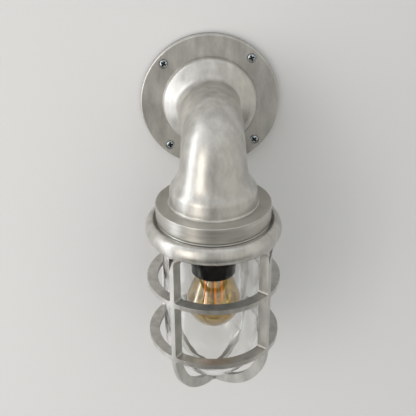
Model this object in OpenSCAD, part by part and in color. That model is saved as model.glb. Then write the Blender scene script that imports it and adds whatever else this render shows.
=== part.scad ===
// Bulkhead wall light: cast elbow on a round wall flange, with a caged glass jar hanging under it.
// The wall is the plane y = 0, the light stands out along -Y, and the lamp axis is vertical.
// The origin is the centre of the wall face. All sizes are in millimetres.

/* [Wall flange] */
// Diameter of the round wall flange
flange_d = 114; // [108:1:126]
// Thickness of the flange
flange_t = 5; // [4:0.5:7]
// Rounding of the flange's front rim
flange_round = 1.5; // [0.5:0.25:2]
// Thickness of the rubber gasket behind the flange
gasket_t = 1.5; // [1:0.25:3]
// Diameter of the domed boss on the flange
dome_d = 78; // [74:1:82]
// Height of the small step at the foot of the dome
dome_step = 1.5; // [0.5:0.25:2.5]
// Height of the dome above its step
dome_h = 12; // [10:0.5:15]
// Diameter of the wiring cavity behind the dome
cavity_d = 64; // [62:0.5:66]
// Depth of the straight part of the wiring cavity
cavity_depth = 8; // [7:0.5:9]

/* [Wall screws] */
// Diameter of the circle that the wall screws stand on
screw_pcd = 100; // [94:1:102]
// Number of wall screws
screw_count = 4; // [3:1:6]
// Turn of the screw pattern away from the diagonals
screw_turn = 3; // [0:1:10]
// Outer diameter of a wall screw's thread
screw_d = 4.2; // [3.5:0.1:5]
// Diameter of a wall screw's plain shank, between its thread and its head
screw_shank_d = 3.2; // [2.6:0.1:3.4]
// Clearance around a screw in its hole, on the diameter
screw_clearance = 0.6; // [0.4:0.1:1]
// Diameter of a wall screw's head
screw_head_d = 6.6; // [6.2:0.1:7.4]
// Height of a wall screw's head
screw_head_h = 1.9; // [1.6:0.1:2.6]
// Diameter of the recess that a screw head sits in
recess_d = 8.2; // [7.8:0.1:9.5]
// Depth of that recess
recess_depth = 1.7; // [1.2:0.1:2.2]
// Length of a wall screw that goes into the wall
screw_in_wall = 25; // [15:1:40]

/* [Elbow] */
// Distance from the wall to the lamp axis
projection = 76; // [70:1:100]
// Outer diameter of the elbow tube
tube_d = 48.8; // [46:0.2:50]
// Bore of the elbow tube
tube_bore = 40; // [36:0.5:41]
// Radius of the bend's centre line
bend_r = 22; // [20:0.5:24]
// Depth of the bell's lip below the tube's axis
bell_drop = 54.5; // [52:0.5:64]
// Diameter of the neck where the flare starts
neck_d = 52.8; // [50:0.2:56]
// Diameter of the bell's shoulder, above its lip
shoulder_d = 67.8; // [66:0.2:69]
// Diameter of the bell's lip
bell_d = 70; // [69:0.5:74]
// Height of the flare between neck and shoulder
flare_h = 16.5; // [14:0.5:18]
// Height of the nearly straight lip under the shoulder
lip_h = 10.5; // [9:0.5:12]
// Diameter of the hollow inside the bell
bell_bore = 61; // [60:0.5:62]
// Wall of the bell's flare
bell_wall = 3.9; // [3.4:0.1:4.2]
// Radius of the bosses that take the gallery screws
gallery_boss_r = 4.8; // [4.7:0.1:5]

/* [Gallery] */
// Diameter of the collar under the bell
collar_d = 90.6; // [88:0.2:92]
// Height of the collar
collar_h = 13.2; // [11:0.2:16]
// Thickness of the gallery's floor
gallery_floor = 4; // [3:0.25:5]
// Rounding of the collar's top edge
collar_round = 1.6; // [0.8:0.2:2.4]
// Length of the threaded spigot below the collar
spigot_len = 6.8; // [6:0.2:9]
// Wall of the spigot, down to the gallery's bore
spigot_wall = 4.7; // [4:0.1:5.5]
// Clearance of the guard's thread on the spigot, on the radius
thread_clearance = 0.3; // [0.2:0.05:0.5]
// Circle of the three screws that hold the gallery to the bell
gallery_pcd = 53; // [52:0.5:53.5]
// Thread diameter of the gallery screws
gallery_screw_d = 4; // [3:0.5:4]
// Length of the gallery screws
gallery_screw_len = 11; // [10:0.5:12]

/* [Glass jar] */
// How far the jar's wall stands in from the collar's edge
jar_inset = 4.3; // [3.8:0.1:6]
// Wall of the jar
jar_wall = 3.5; // [2.5:0.25:4.5]
// How far the jar's rim stands out
jar_rim = 3; // [2.4:0.1:3.2]
// Height of the jar's rim
jar_rim_h = 3.5; // [3:0.25:5]
// Thickness of the gasket above the jar's rim
jar_gasket_t = 1.5; // [1:0.25:2.5]
// Thickness of the pad between the jar's rim and the guard
pad_t = 1; // [0.75:0.25:2]

/* [Guard] */
// How far the guard's bars and hoops stand out past the collar
guard_reach = 8.7; // [7.7:0.1:11.7]
// Width of a bar or height of a hoop, across the blade
bar_w = 4; // [3:0.25:5]
// Radial depth of a bar or hoop
bar_depth = 8.4; // [6:0.2:8.8]
// Turn of the bars away from the diagonals
bar_turn = 6.5; // [0:0.5:12]
// Height from the collar's underside down to the upper hoop
hoop_drop = 54.6; // [50:0.2:60]
// Height from the upper hoop down to the lower hoop
hoop_pitch = 52.6; // [46:0.2:60]
// How far the top ring's cushion stands in from the bars
cushion_inset = 0.2; // [0:0.1:0.6]
// How far the top ring's upper rim stands out past the collar
rim_reach = 2.7; // [2.2:0.1:3.7]
// Gap between the collar and the top ring
guard_gap = 0.4; // [0.3:0.1:1]
// Thickness of the ledge that carries the jar
ledge_t = 3; // [2:0.25:4]
// Radius of the fillet where a bar leaves the top ring
bar_fillet = 6; // [3:0.5:8]
// Radius of the hub where the bars meet
hub_r = 5.5; // [4:0.5:8]

/* [Lampholder] */
// Diameter of the lampholder's skirt
holder_d = 36.8; // [36.4:0.1:38]
// Depth of the lampholder's bottom below the bell's lip
holder_drop = 63.3; // [62:0.1:64]
// Height of the skirt
skirt_h = 31; // [29:0.5:32]
// Height from the skirt's bottom to the lip around it
skirt_lip_z = 10; // [8:0.5:12]
// Outer diameter of the threaded nipple
nipple_d = 10; // [9:0.5:11]
// Wall of the nipple
nipple_wall = 1.2; // [1:0.1:1.5]
// Fit of parts that screw together, on the radius
screw_fit = 0.05; // [0.02:0.01:0.1]

/* [Lamp] */
// Diameter of the globe
globe_d = 45; // [40:1:46]
// Height from the lampholder's bottom to the globe's centre
globe_drop = 28.4; // [28:0.2:32]
// Thread diameter of the screw cap
cap_d = 26.2; // [26:0.1:26.4]
// Pitch of the screw cap's thread
cap_pitch = 3.6; // [3:0.1:4]
// Number of light filaments
filament_count = 4; // [2:1:6]
// Length of a filament
filament_len = 30; // [24:1:32]
// Diameter of a filament
filament_d = 1.8; // [1.4:0.1:2.4]
// Depth of the filaments' upper ends below the lampholder's bottom
filament_drop = 2.3; // [2:0.1:6]
// Turn of the filaments round the lamp axis
filament_turn = 10; // [0:1:45]

/* [Wiring] */
// Diameter of an insulated wire
wire_d = 2.4; // [1.8:0.1:2.6]
// Bore of the cable grommet
grommet_bore = 6.6; // [5:0.1:7]
// Width of the terminal block
block_w = 27; // [26:0.5:28]
// Height of the terminal block
block_h = 14; // [12:0.5:16]
// Depth of the terminal block
block_d = 10; // [9:0.5:11]
// Spacing of the terminal block's poles
pole_pitch = 9; // [8.5:0.1:9.2]
// Thickness of the bracket's steel
bracket_t = 1.2; // [1:0.1:1.5]

/* [Hidden] */
$fn = 96;
// Overlap of two solids that a cut or a union needs
eps = 0.02;
// Gap at a face that moves away from its neighbour
touch_gap = 0.2;

// Depths out from the wall
flange_face = gasket_t + flange_t;
dome_foot = flange_face + dome_step;
cavity_end = gasket_t + cavity_depth;
cavity_throat = dome_foot + dome_h - 3.5;
bend_start = projection - bend_r;

// Heights on the lamp axis
lip_z = -bell_drop;
shoulder_z = lip_z + lip_h;
neck_z = shoulder_z + flare_h;
bell_ceiling_z = neck_z + 3.5;
gallery_boss_top_z = shoulder_z - 0.5;
floor_z = lip_z - gallery_floor;
collar_z = lip_z - collar_h;
spigot_z = collar_z - spigot_len;
jar_top_z = spigot_z - jar_gasket_t;
jar_shoulder_z = jar_top_z - jar_rim_h;
ledge_z = jar_shoulder_z - pad_t;
guard_top_z = collar_z - guard_gap;
guard_under_z = ledge_z - ledge_t;
upper_hoop_z = collar_z - hoop_drop;
lower_hoop_z = upper_hoop_z - hoop_pitch;
holder_z = lip_z - holder_drop;
skirt_top_z = holder_z + skirt_h;
globe_z = holder_z - globe_drop;

// Radii on the lamp axis
tube_r = tube_d / 2;
spigot_r = collar_d / 2 - 0.6;
gallery_bore_r = spigot_r - spigot_wall;
thread_r = spigot_r + thread_clearance;
jar_r = collar_d / 2 - jar_inset;
jar_rim_r = jar_r + jar_rim;
guard_r = collar_d / 2 + guard_reach;
bar_inner_r = guard_r - bar_depth;
cushion_r = guard_r - cushion_inset;
holder_r = holder_d / 2;
nipple_r = nipple_d / 2;
cap_r = cap_d / 2;

// Gallery seat for the ring under the bell
bell_gasket_inner = bell_bore / 2 + 0.9;
bell_gasket_outer = bell_d / 2 - 0.8;
bell_gasket_t = 1;

// Lampholder and lamp details
insert_top_z = skirt_top_z + 2;
insert_h = 9;
insert_r = holder_r - 3.2;
shell_wall = 0.7;
shell_r = cap_r + 0.4 + shell_wall;
shell_top_z = insert_top_z - insert_h;
contact_t = 1;
tip_z = shell_top_z - contact_t - touch_gap;
tip_h = 2;
insulator_h = 3.8;
cap_top_z = tip_z - tip_h - insulator_h;
cap_rim_z = holder_z + 1;
cap_wall = 0.5;
thread_depth = 0.7;
glass_t = 0.8;
filament_ring_r = 7;
filament_top_z = holder_z - filament_drop;
filament_bottom_z = filament_top_z - filament_len;
stem_r = 2;
lead_d = 0.8;
post_h = 4;
post_x = 9.5;
post_r = 2.6;

// Wiring cavity details
bracket_boss_x = 25;
bracket_boss_r = 4.2;
bracket_face = cavity_end - 2;
bracket_leg_x = block_w / 2 + 1.9;
bracket_h = 10;
bracket_end_x = 29.4;
bracket_screw_d = 3.5;
bracket_screw_len = 6;
bracket_screw_head_d = 6.4;
bracket_drop = 8;
pole_w = 6.4;
block_face = bracket_face + bracket_drop - bracket_t - block_d;
wire_hole_depth = block_face + 6.7;
earth_z = -24;
earth_boss_r = 4.2;
earth_boss_face = cavity_end - 1;
earth_tag_t = 0.8;
earth_screw_d = 4;
inlet_x = -17;
inlet_z = -15;
grommet_wall = 1.7;
grommet_lip = 1.5;

// Points of a quarter or part ellipse around (cx, cy), from angle a0 to a1
function arc_points(cx, cy, rx, ry, a0, a1, steps) =
    [for (i = [0:steps]) let (a = a0 + (a1 - a0) * i / steps) [cx + rx * cos(a), cy + ry * sin(a)]];

// Smooth step from 0 to 1
function ease(t) = t * t * (3 - 2 * t);

// Radius of the bell's outside at a share t of its flare, from the neck down
function flare_r(t) = neck_d / 2 + (shoulder_d - neck_d) / 2 * ease(t);

// Unit vector along v
function unit(v) = v / norm(v);

// One point of a smooth curve between p1 and p2
function curve_point(p0, p1, p2, p3, t) =
    0.5 * (2 * p1 + (p2 - p0) * t + (2 * p0 - 5 * p1 + 4 * p2 - p3) * t * t
    + (3 * p1 - p0 - 3 * p2 + p3) * t * t * t);

// A smooth route through hand-placed points
function smooth_route(pts, steps) = concat(
    [for (i = [0:len(pts) - 2]) for (s = [0:steps - 1])
        curve_point(pts[max(i - 1, 0)], pts[i], pts[i + 1], pts[min(i + 2, len(pts) - 1)], s / steps)],
    [pts[len(pts) - 1]]);

// A tube of radius r swept along a route, with the given number of sides
module tube_along(route, r, sides = 8) {
    last = len(route) - 1;
    tangents = [for (i = [0:last]) unit(route[min(i + 1, last)] - route[max(i - 1, 0)])];
    points = [for (i = [0:last]) for (j = [0:sides - 1])
        let (u = unit(cross(tangents[i], [1, 0, 0])), w = cross(tangents[i], u), a = 360 * j / sides)
            route[i] + r * (cos(a) * u + sin(a) * w)];
    walls = [for (i = [0:last - 1]) for (j = [0:sides - 1]) let (k = (j + 1) % sides)
        each [[i * sides + j, (i + 1) * sides + j, (i + 1) * sides + k],
              [i * sides + j, (i + 1) * sides + k, i * sides + k]]];
    first_cap = [for (j = [1:sides - 2]) [0, j, j + 1]];
    last_cap = [for (j = [1:sides - 2]) [last * sides, last * sides + j + 1, last * sides + j]];
    polyhedron(points, concat(walls, first_cap, last_cap));
}

// Children stand on the wall, with their own +Z pointing out into the room
module out_from_wall() {
    rotate([90, 0, 0]) children();
}

// Children stand on the lamp axis
module on_lamp_axis() {
    translate([0, -projection, 0]) children();
}

// A ring between two radii and two heights
module ring(outer, inner, z_low, z_high) {
    translate([0, 0, z_low]) difference() {
        cylinder(r = outer, h = z_high - z_low);
        translate([0, 0, -1]) cylinder(r = inner, h = z_high - z_low + 2);
    }
}

// Children repeated at each wall screw
module at_wall_screws() {
    for (i = [0:screw_count - 1])
        rotate([0, 0, 45 + screw_turn + 360 * i / screw_count])
            translate([screw_pcd / 2, 0, 0]) children();
}

// Children repeated at each gallery screw
module at_gallery_screws() {
    for (a = [90, 210, 330])
        rotate([0, 0, a]) translate([gallery_pcd / 2, 0, 0]) children();
}

// A cross-head recess to cut from a screw head, w across and d deep
module cross_recess(w, d) {
    translate([0, 0, d / 2]) {
        cube([w, w / 4, d + eps], center = true);
        cube([w / 4, w, d + eps], center = true);
    }
}

// A bent tube: straight out of the wall, round the bend, and down to the neck
module bent_tube(r, start, end_z) {
    out_from_wall() translate([0, 0, start]) cylinder(r = r, h = bend_start - start + eps);
    translate([0, -bend_start, -bend_r]) rotate([90, 0, -90])
        rotate_extrude(angle = 90) intersection() {
            translate([bend_r, 0]) circle(r = r);
            translate([0, -2 * r]) square([bend_r + 2 * r, 4 * r]);
        }
    on_lamp_axis() translate([0, 0, end_z]) cylinder(r = r, h = -bend_r - end_z + eps);
}

// Section of the flange and its dome, in radius and depth from the wall
module flange_section() {
    dome_r = dome_d / 2;
    polygon(concat(
        [[0, gasket_t], [flange_d / 2, gasket_t]],
        arc_points(flange_d / 2 - flange_round, flange_face - flange_round, flange_round, flange_round, 0, 90, 6),
        [[dome_r, flange_face]],
        arc_points(0, dome_foot, dome_r, dome_h, 0, 90, 20)));
}

// Section of the wiring cavity, in radius and depth from the wall
module cavity_section() {
    polygon([[0, 0], [cavity_d / 2, 0], [cavity_d / 2, cavity_end],
        [tube_bore / 2, cavity_throat], [0, cavity_throat]]);
}

// Section of the bell's outside, in radius and height
module bell_section() {
    steps = 16;
    polygon(concat(
        [[0, lip_z], [bell_d / 2, lip_z]],
        [for (i = [0:steps]) [flare_r(1 - i / steps), shoulder_z + flare_h * i / steps]],
        [[tube_r, -bend_r], [0, -bend_r]]));
}

// Section of the hollow inside the bell, in radius and height
module bell_hollow_section() {
    steps = 12;
    polygon(concat(
        [[0, lip_z - 1], [bell_bore / 2, lip_z - 1], [bell_bore / 2, shoulder_z]],
        [for (i = [0:steps]) [flare_r(1 - i / steps) - bell_wall, shoulder_z + flare_h * i / steps]],
        [[tube_bore / 2, bell_ceiling_z], [0, bell_ceiling_z]]));
}

// Solid outside of the casting, before it is hollowed
module casting_outside() {
    out_from_wall() rotate_extrude() flange_section();
    bent_tube(tube_r, dome_foot, neck_z);
    on_lamp_axis() rotate_extrude() bell_section();
}

// Everything that is hollow inside the casting
module casting_hollow() {
    out_from_wall() rotate_extrude() cavity_section();
    bent_tube(tube_bore / 2, cavity_throat - 1, neck_z + 1);
    on_lamp_axis() rotate_extrude() bell_hollow_section();
}

// Bosses inside the casting that take the screws
module casting_bosses() {
    out_from_wall() {
        for (x = [-bracket_boss_x, bracket_boss_x])
            translate([x, 0, bracket_face]) cylinder(r = bracket_boss_r, h = dome_foot - bracket_face + 5);
        translate([0, earth_z, earth_boss_face])
            cylinder(r = earth_boss_r, h = dome_foot - earth_boss_face + 5);
    }
    on_lamp_axis() at_gallery_screws()
        translate([0, 0, lip_z]) cylinder(r = gallery_boss_r, h = gallery_boss_top_z - lip_z);
}

// Screw holes and recesses in the casting
module casting_holes() {
    out_from_wall() {
        at_wall_screws() {
            cylinder(d = screw_d + screw_clearance, h = flange_face + 1);
            translate([0, 0, flange_face - recess_depth]) cylinder(d = recess_d, h = recess_depth + 1);
        }
        for (x = [-bracket_boss_x, bracket_boss_x])
            translate([x, 0, bracket_face - eps]) cylinder(r = bracket_screw_d / 2 + screw_fit, h = 5.5);
        translate([0, earth_z, earth_boss_face - eps])
            cylinder(r = earth_screw_d / 2 + screw_fit, h = 5.5);
    }
    on_lamp_axis() at_gallery_screws()
        translate([0, 0, lip_z - 1])
            cylinder(r = gallery_screw_d / 2 + screw_fit, h = gallery_screw_len - gallery_floor + 2);
}

module elbow_casting() {
    color("#A9A69F") difference() {
        union() {
            difference() {
                casting_outside();
                casting_hollow();
            }
            casting_bosses();
        }
        casting_holes();
    }
}

module wall_gasket() {
    color("#2B2B2A") out_from_wall() difference() {
        cylinder(d = flange_d - 0.6, h = gasket_t);
        translate([0, 0, -1]) {
            at_wall_screws() cylinder(d = screw_d + screw_clearance, h = gasket_t + 2);
            translate([inlet_x, inlet_z, 0]) cylinder(r = grommet_bore / 2 + grommet_wall, h = gasket_t + 2);
        }
    }
}

module wall_screws() {
    seat = flange_face - recess_depth;
    tip = 4;
    cross_depth = 1.3;
    rim_share = 0.45;
    color("#B9C0C4") out_from_wall() at_wall_screws() difference() {
        union() {
            translate([0, 0, tip - screw_in_wall]) cylinder(d = screw_d, h = screw_in_wall - tip);
            translate([0, 0, -1]) cylinder(d = screw_shank_d, h = seat + 1 + eps);
            translate([0, 0, -screw_in_wall]) cylinder(d1 = 0.8, d2 = screw_d, h = tip);
            translate([0, 0, seat]) cylinder(d = screw_head_d, h = screw_head_h * rim_share);
            translate([0, 0, seat + screw_head_h * rim_share])
                cylinder(d1 = screw_head_d, d2 = screw_head_d * 0.7, h = screw_head_h * (1 - rim_share));
        }
        translate([0, 0, seat + screw_head_h - cross_depth])
            cross_recess(screw_head_d * 0.64, cross_depth + 0.1);
    }
}

module cable_grommet() {
    outer = grommet_bore / 2 + grommet_wall;
    color("#1C1C1C") out_from_wall() translate([inlet_x, inlet_z, 0]) {
        difference() {
            union() {
                cylinder(r = outer, h = gasket_t);
                translate([0, 0, gasket_t]) cylinder(r = outer + 1.3, h = grommet_lip);
            }
            translate([0, 0, -1]) cylinder(d = grommet_bore, h = gasket_t + grommet_lip + 2);
        }
    }
}

module terminal_bracket() {
    foot_l = bracket_end_x - bracket_leg_x;
    base_depth = bracket_face + bracket_drop;
    color("#B4B8BA") out_from_wall() difference() {
        union() {
            for (side = [-1, 1]) {
                translate([side * (bracket_leg_x + foot_l / 2), 0, bracket_face - bracket_t / 2])
                    cube([foot_l, bracket_h, bracket_t], center = true);
                translate([side * (bracket_leg_x + bracket_t / 2), 0, (bracket_face - bracket_t + base_depth) / 2])
                    cube([bracket_t, bracket_h, base_depth - bracket_face + bracket_t], center = true);
            }
            translate([0, 0, base_depth - bracket_t / 2])
                cube([2 * (bracket_leg_x + bracket_t), bracket_h, bracket_t], center = true);
        }
        for (side = [-1, 1]) {
            translate([side * bracket_boss_x, 0, 0]) cylinder(r = bracket_screw_d / 2 + 0.25, h = base_depth);
            translate([side * pole_pitch / 2, 0, base_depth - 3]) cylinder(r = 1.5 + screw_fit, h = 4);
        }
    }
}

// A pan-head machine screw: head on z = 0 and above, thread below
module pan_screw(d, len, head_d, head_h) {
    difference() {
        union() {
            translate([0, 0, -len]) cylinder(d = d, h = len + eps);
            cylinder(d = head_d, h = head_h * 0.5);
            translate([0, 0, head_h * 0.5]) cylinder(d1 = head_d, d2 = head_d * 0.66, h = head_h * 0.5);
        }
        translate([0, 0, head_h - 1.1]) cross_recess(head_d * 0.5, 1.2);
    }
}

// Children are turned to point back at the wall from a depth
module facing_wall(depth) {
    out_from_wall() translate([0, 0, depth]) mirror([0, 0, 1]) children();
}

module bracket_screws() {
    color("#B9C0C4") for (side = [-1, 1])
        facing_wall(bracket_face - bracket_t) translate([side * bracket_boss_x, 0, 0])
            pan_screw(bracket_screw_d, bracket_screw_len, bracket_screw_head_d, 2.2);
}

module terminal_block() {
    color("#E9E6DC") out_from_wall() translate([0, 0, block_face]) difference() {
        union() {
            translate([-block_w / 2, -block_h / 2, 2]) cube([block_w, block_h, block_d - 2]);
            for (p = [-1:1]) translate([p * pole_pitch - pole_w / 2, -block_h / 2, 0]) cube([pole_w, block_h, 3]);
        }
        for (p = [-1:1]) {
            translate([p * pole_pitch, -block_h / 2 - 1, wire_hole_depth - block_face]) rotate([-90, 0, 0])
                cylinder(d = wire_d + 0.8, h = block_h + 2);
            for (y = [-block_h / 4, block_h / 4])
                translate([p * pole_pitch, y, -1]) cylinder(d = 3.4, h = 5.6);
        }
        for (side = [-1, 1]) translate([side * pole_pitch / 2, 0, 0]) {
            translate([0, 0, -1]) cylinder(r = 1.5 + screw_fit, h = block_d + 2);
        }
    }
}

module terminal_screws() {
    color("#C2A45C") for (p = [-1:1]) for (y = [-block_h / 4, block_h / 4])
        facing_wall(block_face + 4.6) translate([p * pole_pitch, y, 0]) difference() {
            cylinder(d = 3, h = 4.2);
            translate([0, 0, 3.9]) cube([4, 0.6, 1.2], center = true);
        }
}

module block_screws() {
    seat = block_face + 2;
    color("#B9C0C4") for (side = [-1, 1])
        facing_wall(seat) translate([side * pole_pitch / 2, 0, 0]) difference() {
            union() {
                translate([0, 0, 2 - block_d - bracket_t]) cylinder(d = 3, h = block_d + bracket_t - 2);
                cylinder(d = 2.4, h = 1.2);
            }
            translate([0, 0, 1]) cube([3, 0.5, 0.8], center = true);
        }
}

module earth_tag() {
    barrel_r = wire_d / 2 + 0.5;
    color("#C9C6B8") out_from_wall() {
        difference() {
            union() {
                translate([0, earth_z, earth_boss_face - earth_tag_t]) cylinder(r = earth_boss_r, h = earth_tag_t);
                translate([-1.2, earth_z + 3, earth_boss_face - earth_tag_t]) cube([2.4, 2.6, earth_tag_t]);
                translate([0, earth_z + 5, earth_boss_face - barrel_r]) rotate([-90, 0, 0])
                    cylinder(r = barrel_r, h = 4.5);
            }
            translate([0, earth_z, 0]) cylinder(r = earth_screw_d / 2 + 0.2, h = cavity_end);
            translate([0, earth_z + 6, earth_boss_face - barrel_r]) rotate([-90, 0, 0])
                cylinder(r = wire_d / 2 + 0.05, h = 5);
        }
    }
}

module earth_screw() {
    color("#C2A45C") facing_wall(earth_boss_face - earth_tag_t) translate([0, earth_z, 0])
        pan_screw(earth_screw_d, 6, 7, 2.2);
}

// Route of the earth wire, from its tag up to the terminal block
earth_route = [
    [0, -(earth_boss_face - wire_d / 2 - 0.5), earth_z + 6.2],
    [0, -(earth_boss_face - wire_d / 2 - 0.5), earth_z + 9.7],
    [0, -(earth_boss_face - wire_d / 2 - 0.5), earth_z + 11],
    [0, -(earth_boss_face + 0.6), earth_z + 13.2],
    [0, -wire_hole_depth, -block_h / 2 - 1.6],
    [0, -wire_hole_depth, -block_h / 2 + 2]];

// Route of the live wire, from the terminal block to its post in the lampholder
bend_out = bend_r + 6;
live_route = [
    [-pole_pitch, -wire_hole_depth, block_h / 2 - 2],
    [-pole_pitch, -wire_hole_depth, block_h / 2 + 2],
    [-pole_pitch + 0.5, -wire_hole_depth - 2, block_h / 2 + 5],
    [-pole_pitch + 2, -wire_hole_depth - 9, block_h / 2 + 6],
    [-5.5, -0.44 * wire_hole_depth - 0.56 * bend_start, 12],
    [-4, -bend_start, 6],
    [-3, -bend_start - bend_out * 0.707, -bend_r + bend_out * 0.707],
    [-2, -bend_start - bend_out, -bend_r],
    [-1.6, -projection - 2, lip_z + 14],
    [-1.6, -projection, lip_z + 5],
    [-1.6, -projection, floor_z - 8],
    [-3.2, -projection, floor_z - 13],
    [-post_x + 1, -projection, insert_top_z + post_h + 5.5],
    [-post_x, -projection, insert_top_z + post_h + touch_gap / 2]];

module earth_wire() {
    color("#7FA63A") tube_along(smooth_route(earth_route, 4), wire_d / 2);
}

module live_wire() {
    color("#6B3F25") tube_along(smooth_route(live_route, 5), wire_d / 2);
}

module neutral_wire() {
    color("#2F5FA8") mirror([1, 0, 0]) tube_along(smooth_route(live_route, 5), wire_d / 2);
}

module bell_gasket() {
    color("#222222") on_lamp_axis()
        ring(bell_gasket_outer, bell_gasket_inner, lip_z - bell_gasket_t, lip_z);
}

// Section of the gallery, in radius and height
module gallery_section() {
    difference() {
        polygon(concat(
            [[0, floor_z], [0, lip_z], [collar_d / 2 - collar_round, lip_z]],
            arc_points(collar_d / 2 - collar_round, lip_z - collar_round, collar_round, collar_round, 90, 0, 6),
            [[collar_d / 2, collar_z + 0.4], [collar_d / 2 - 0.4, collar_z], [spigot_r, collar_z],
             [spigot_r, spigot_z + 0.5], [spigot_r - 0.5, spigot_z],
             [gallery_bore_r, spigot_z], [gallery_bore_r, floor_z]]));
        translate([bell_gasket_inner - 0.05, lip_z - bell_gasket_t])
            square([bell_gasket_outer - bell_gasket_inner + 0.1, bell_gasket_t + 1]);
    }
}

module gallery_collar() {
    color("#A9A69F") on_lamp_axis() difference() {
        rotate_extrude() gallery_section();
        translate([0, 0, floor_z - 1]) {
            cylinder(r = nipple_r + screw_fit, h = gallery_floor + 2);
            at_gallery_screws() cylinder(d = gallery_screw_d + 0.5, h = gallery_floor + 2);
        }
    }
}

module gallery_screws() {
    color("#B9C0C4") on_lamp_axis() at_gallery_screws()
        translate([0, 0, floor_z]) mirror([0, 0, 1]) pan_screw(gallery_screw_d, gallery_screw_len, 7.5, 2.6);
}

nipple_top_z = lip_z + 5;
nipple_bottom_z = floor_z - 7.5;

module holder_nipple() {
    color("#C9A75A") on_lamp_axis()
        ring(nipple_r, nipple_r - nipple_wall, nipple_bottom_z, nipple_top_z);
}

module nipple_locknut() {
    color("#C9A75A") on_lamp_axis() translate([0, 0, lip_z]) difference() {
        cylinder(r = nipple_r * 1.62, h = 3.5, $fn = 6);
        translate([0, 0, -1]) cylinder(r = nipple_r + screw_fit, h = 6);
    }
}

// Section of the lampholder's cap, in radius and height
module holder_cap_section() {
    neck_r = nipple_r + 3.5;
    neck_low_z = floor_z - 5;
    dome_low_z = floor_z - 15;
    wall = 2.2;
    thread_low_z = skirt_top_z - 7;
    hole_r = nipple_r + screw_fit;
    polygon(concat(
        [[hole_r, floor_z], [neck_r, floor_z], [neck_r, neck_low_z]],
        arc_points(neck_r, dome_low_z, holder_r - neck_r, neck_low_z - dome_low_z, 80, 0, 10),
        [[holder_r, skirt_top_z], [holder_r - 1.6, skirt_top_z], [holder_r - 1.6, thread_low_z],
         [holder_r - wall - 0.7, thread_low_z], [holder_r - wall - 0.7, dome_low_z]],
        arc_points(neck_r, dome_low_z, holder_r - neck_r - wall - 0.7, neck_low_z - dome_low_z - 4, 10, 90, 8),
        [[hole_r, neck_low_z - 4]]));
}

module holder_cap() {
    color("#141414") on_lamp_axis() rotate_extrude() holder_cap_section();
}

// Section of the lampholder's skirt, in radius and height
module holder_skirt_section() {
    edge = 1.6;
    lip = 0.6;
    inner = holder_r - 1.5;
    mouth = shell_r + 0.4;
    polygon(concat(
        [[mouth, holder_z], [holder_r - edge, holder_z]],
        arc_points(holder_r - edge, holder_z + edge, edge, edge, -90, 0, 6),
        [[holder_r, holder_z + skirt_lip_z - 0.6], [holder_r + lip, holder_z + skirt_lip_z],
         [holder_r + lip, holder_z + skirt_lip_z + 1.6], [holder_r, holder_z + skirt_lip_z + 2.2],
         [holder_r, skirt_top_z - touch_gap], [inner, skirt_top_z - touch_gap],
         [inner, holder_z + 3], [mouth, holder_z + 3]]));
}

module holder_skirt() {
    color("#101010") on_lamp_axis() rotate_extrude() holder_skirt_section();
}

module holder_insert() {
    color("#EDEAE2") on_lamp_axis() translate([0, 0, shell_top_z]) cylinder(r = insert_r - 0.4, h = insert_h);
}

module holder_terminals() {
    color("#C9A75A") on_lamp_axis() for (side = [-1, 1])
        translate([side * post_x, 0, insert_top_z]) difference() {
            cylinder(r = post_r, h = post_h);
            translate([0, 0, post_h]) cube([0.7, 3 * post_r, 1.2], center = true);
        }
}

module holder_shell() {
    color("#C9A75A") on_lamp_axis() {
        ring(shell_r, shell_r - shell_wall, holder_z + 3.2, shell_top_z);
        ring(shell_r - shell_wall / 2, 8, shell_top_z - shell_wall, shell_top_z);
    }
}

module holder_contact() {
    color("#C9A75A") on_lamp_axis() {
        translate([0, 0, shell_top_z - 0.25]) cube([11, 5, 0.5], center = true);
        translate([0, 0, shell_top_z - contact_t]) cylinder(r = 2.4, h = contact_t - 0.1);
    }
}

// Section of the threaded screw cap, in radius and height
module screw_cap_section() {
    steps = 36;
    height = cap_top_z - cap_rim_z;
    shoulder = 1.2;
    crest = [for (i = [0:steps]) let (z = (height - shoulder) * i / steps)
        [cap_r - thread_depth / 2 + thread_depth / 2 * cos(360 * z / cap_pitch), cap_rim_z + z]];
    inner_r = cap_r - thread_depth - cap_wall;
    polygon(concat(crest,
        [[cap_r - 2, cap_top_z], [inner_r - 1.4, cap_top_z], [inner_r - 1.4, cap_top_z - cap_wall],
         [inner_r, cap_top_z - 1.4], [inner_r, cap_rim_z]]));
}

module bulb_screw_cap() {
    color("#C8C9C6") on_lamp_axis() rotate_extrude() screw_cap_section();
}

module bulb_insulator() {
    base_r = cap_r - thread_depth - cap_wall - 1.4;
    color("#1A1A1E") on_lamp_axis() translate([0, 0, cap_top_z])
        cylinder(r1 = base_r, r2 = 5, h = insulator_h);
}

module bulb_tip() {
    color("#B8B9B6") on_lamp_axis() translate([0, 0, cap_top_z + insulator_h])
        cylinder(r1 = 4.6, r2 = 3, h = tip_h);
}

// Points of a smooth curve from p to q, pulled towards m
function pulled_curve(p, m, q, steps) =
    [for (i = [1:steps]) let (s = i / steps) (1 - s) * (1 - s) * p + 2 * s * (1 - s) * m + s * s * q];

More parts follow.
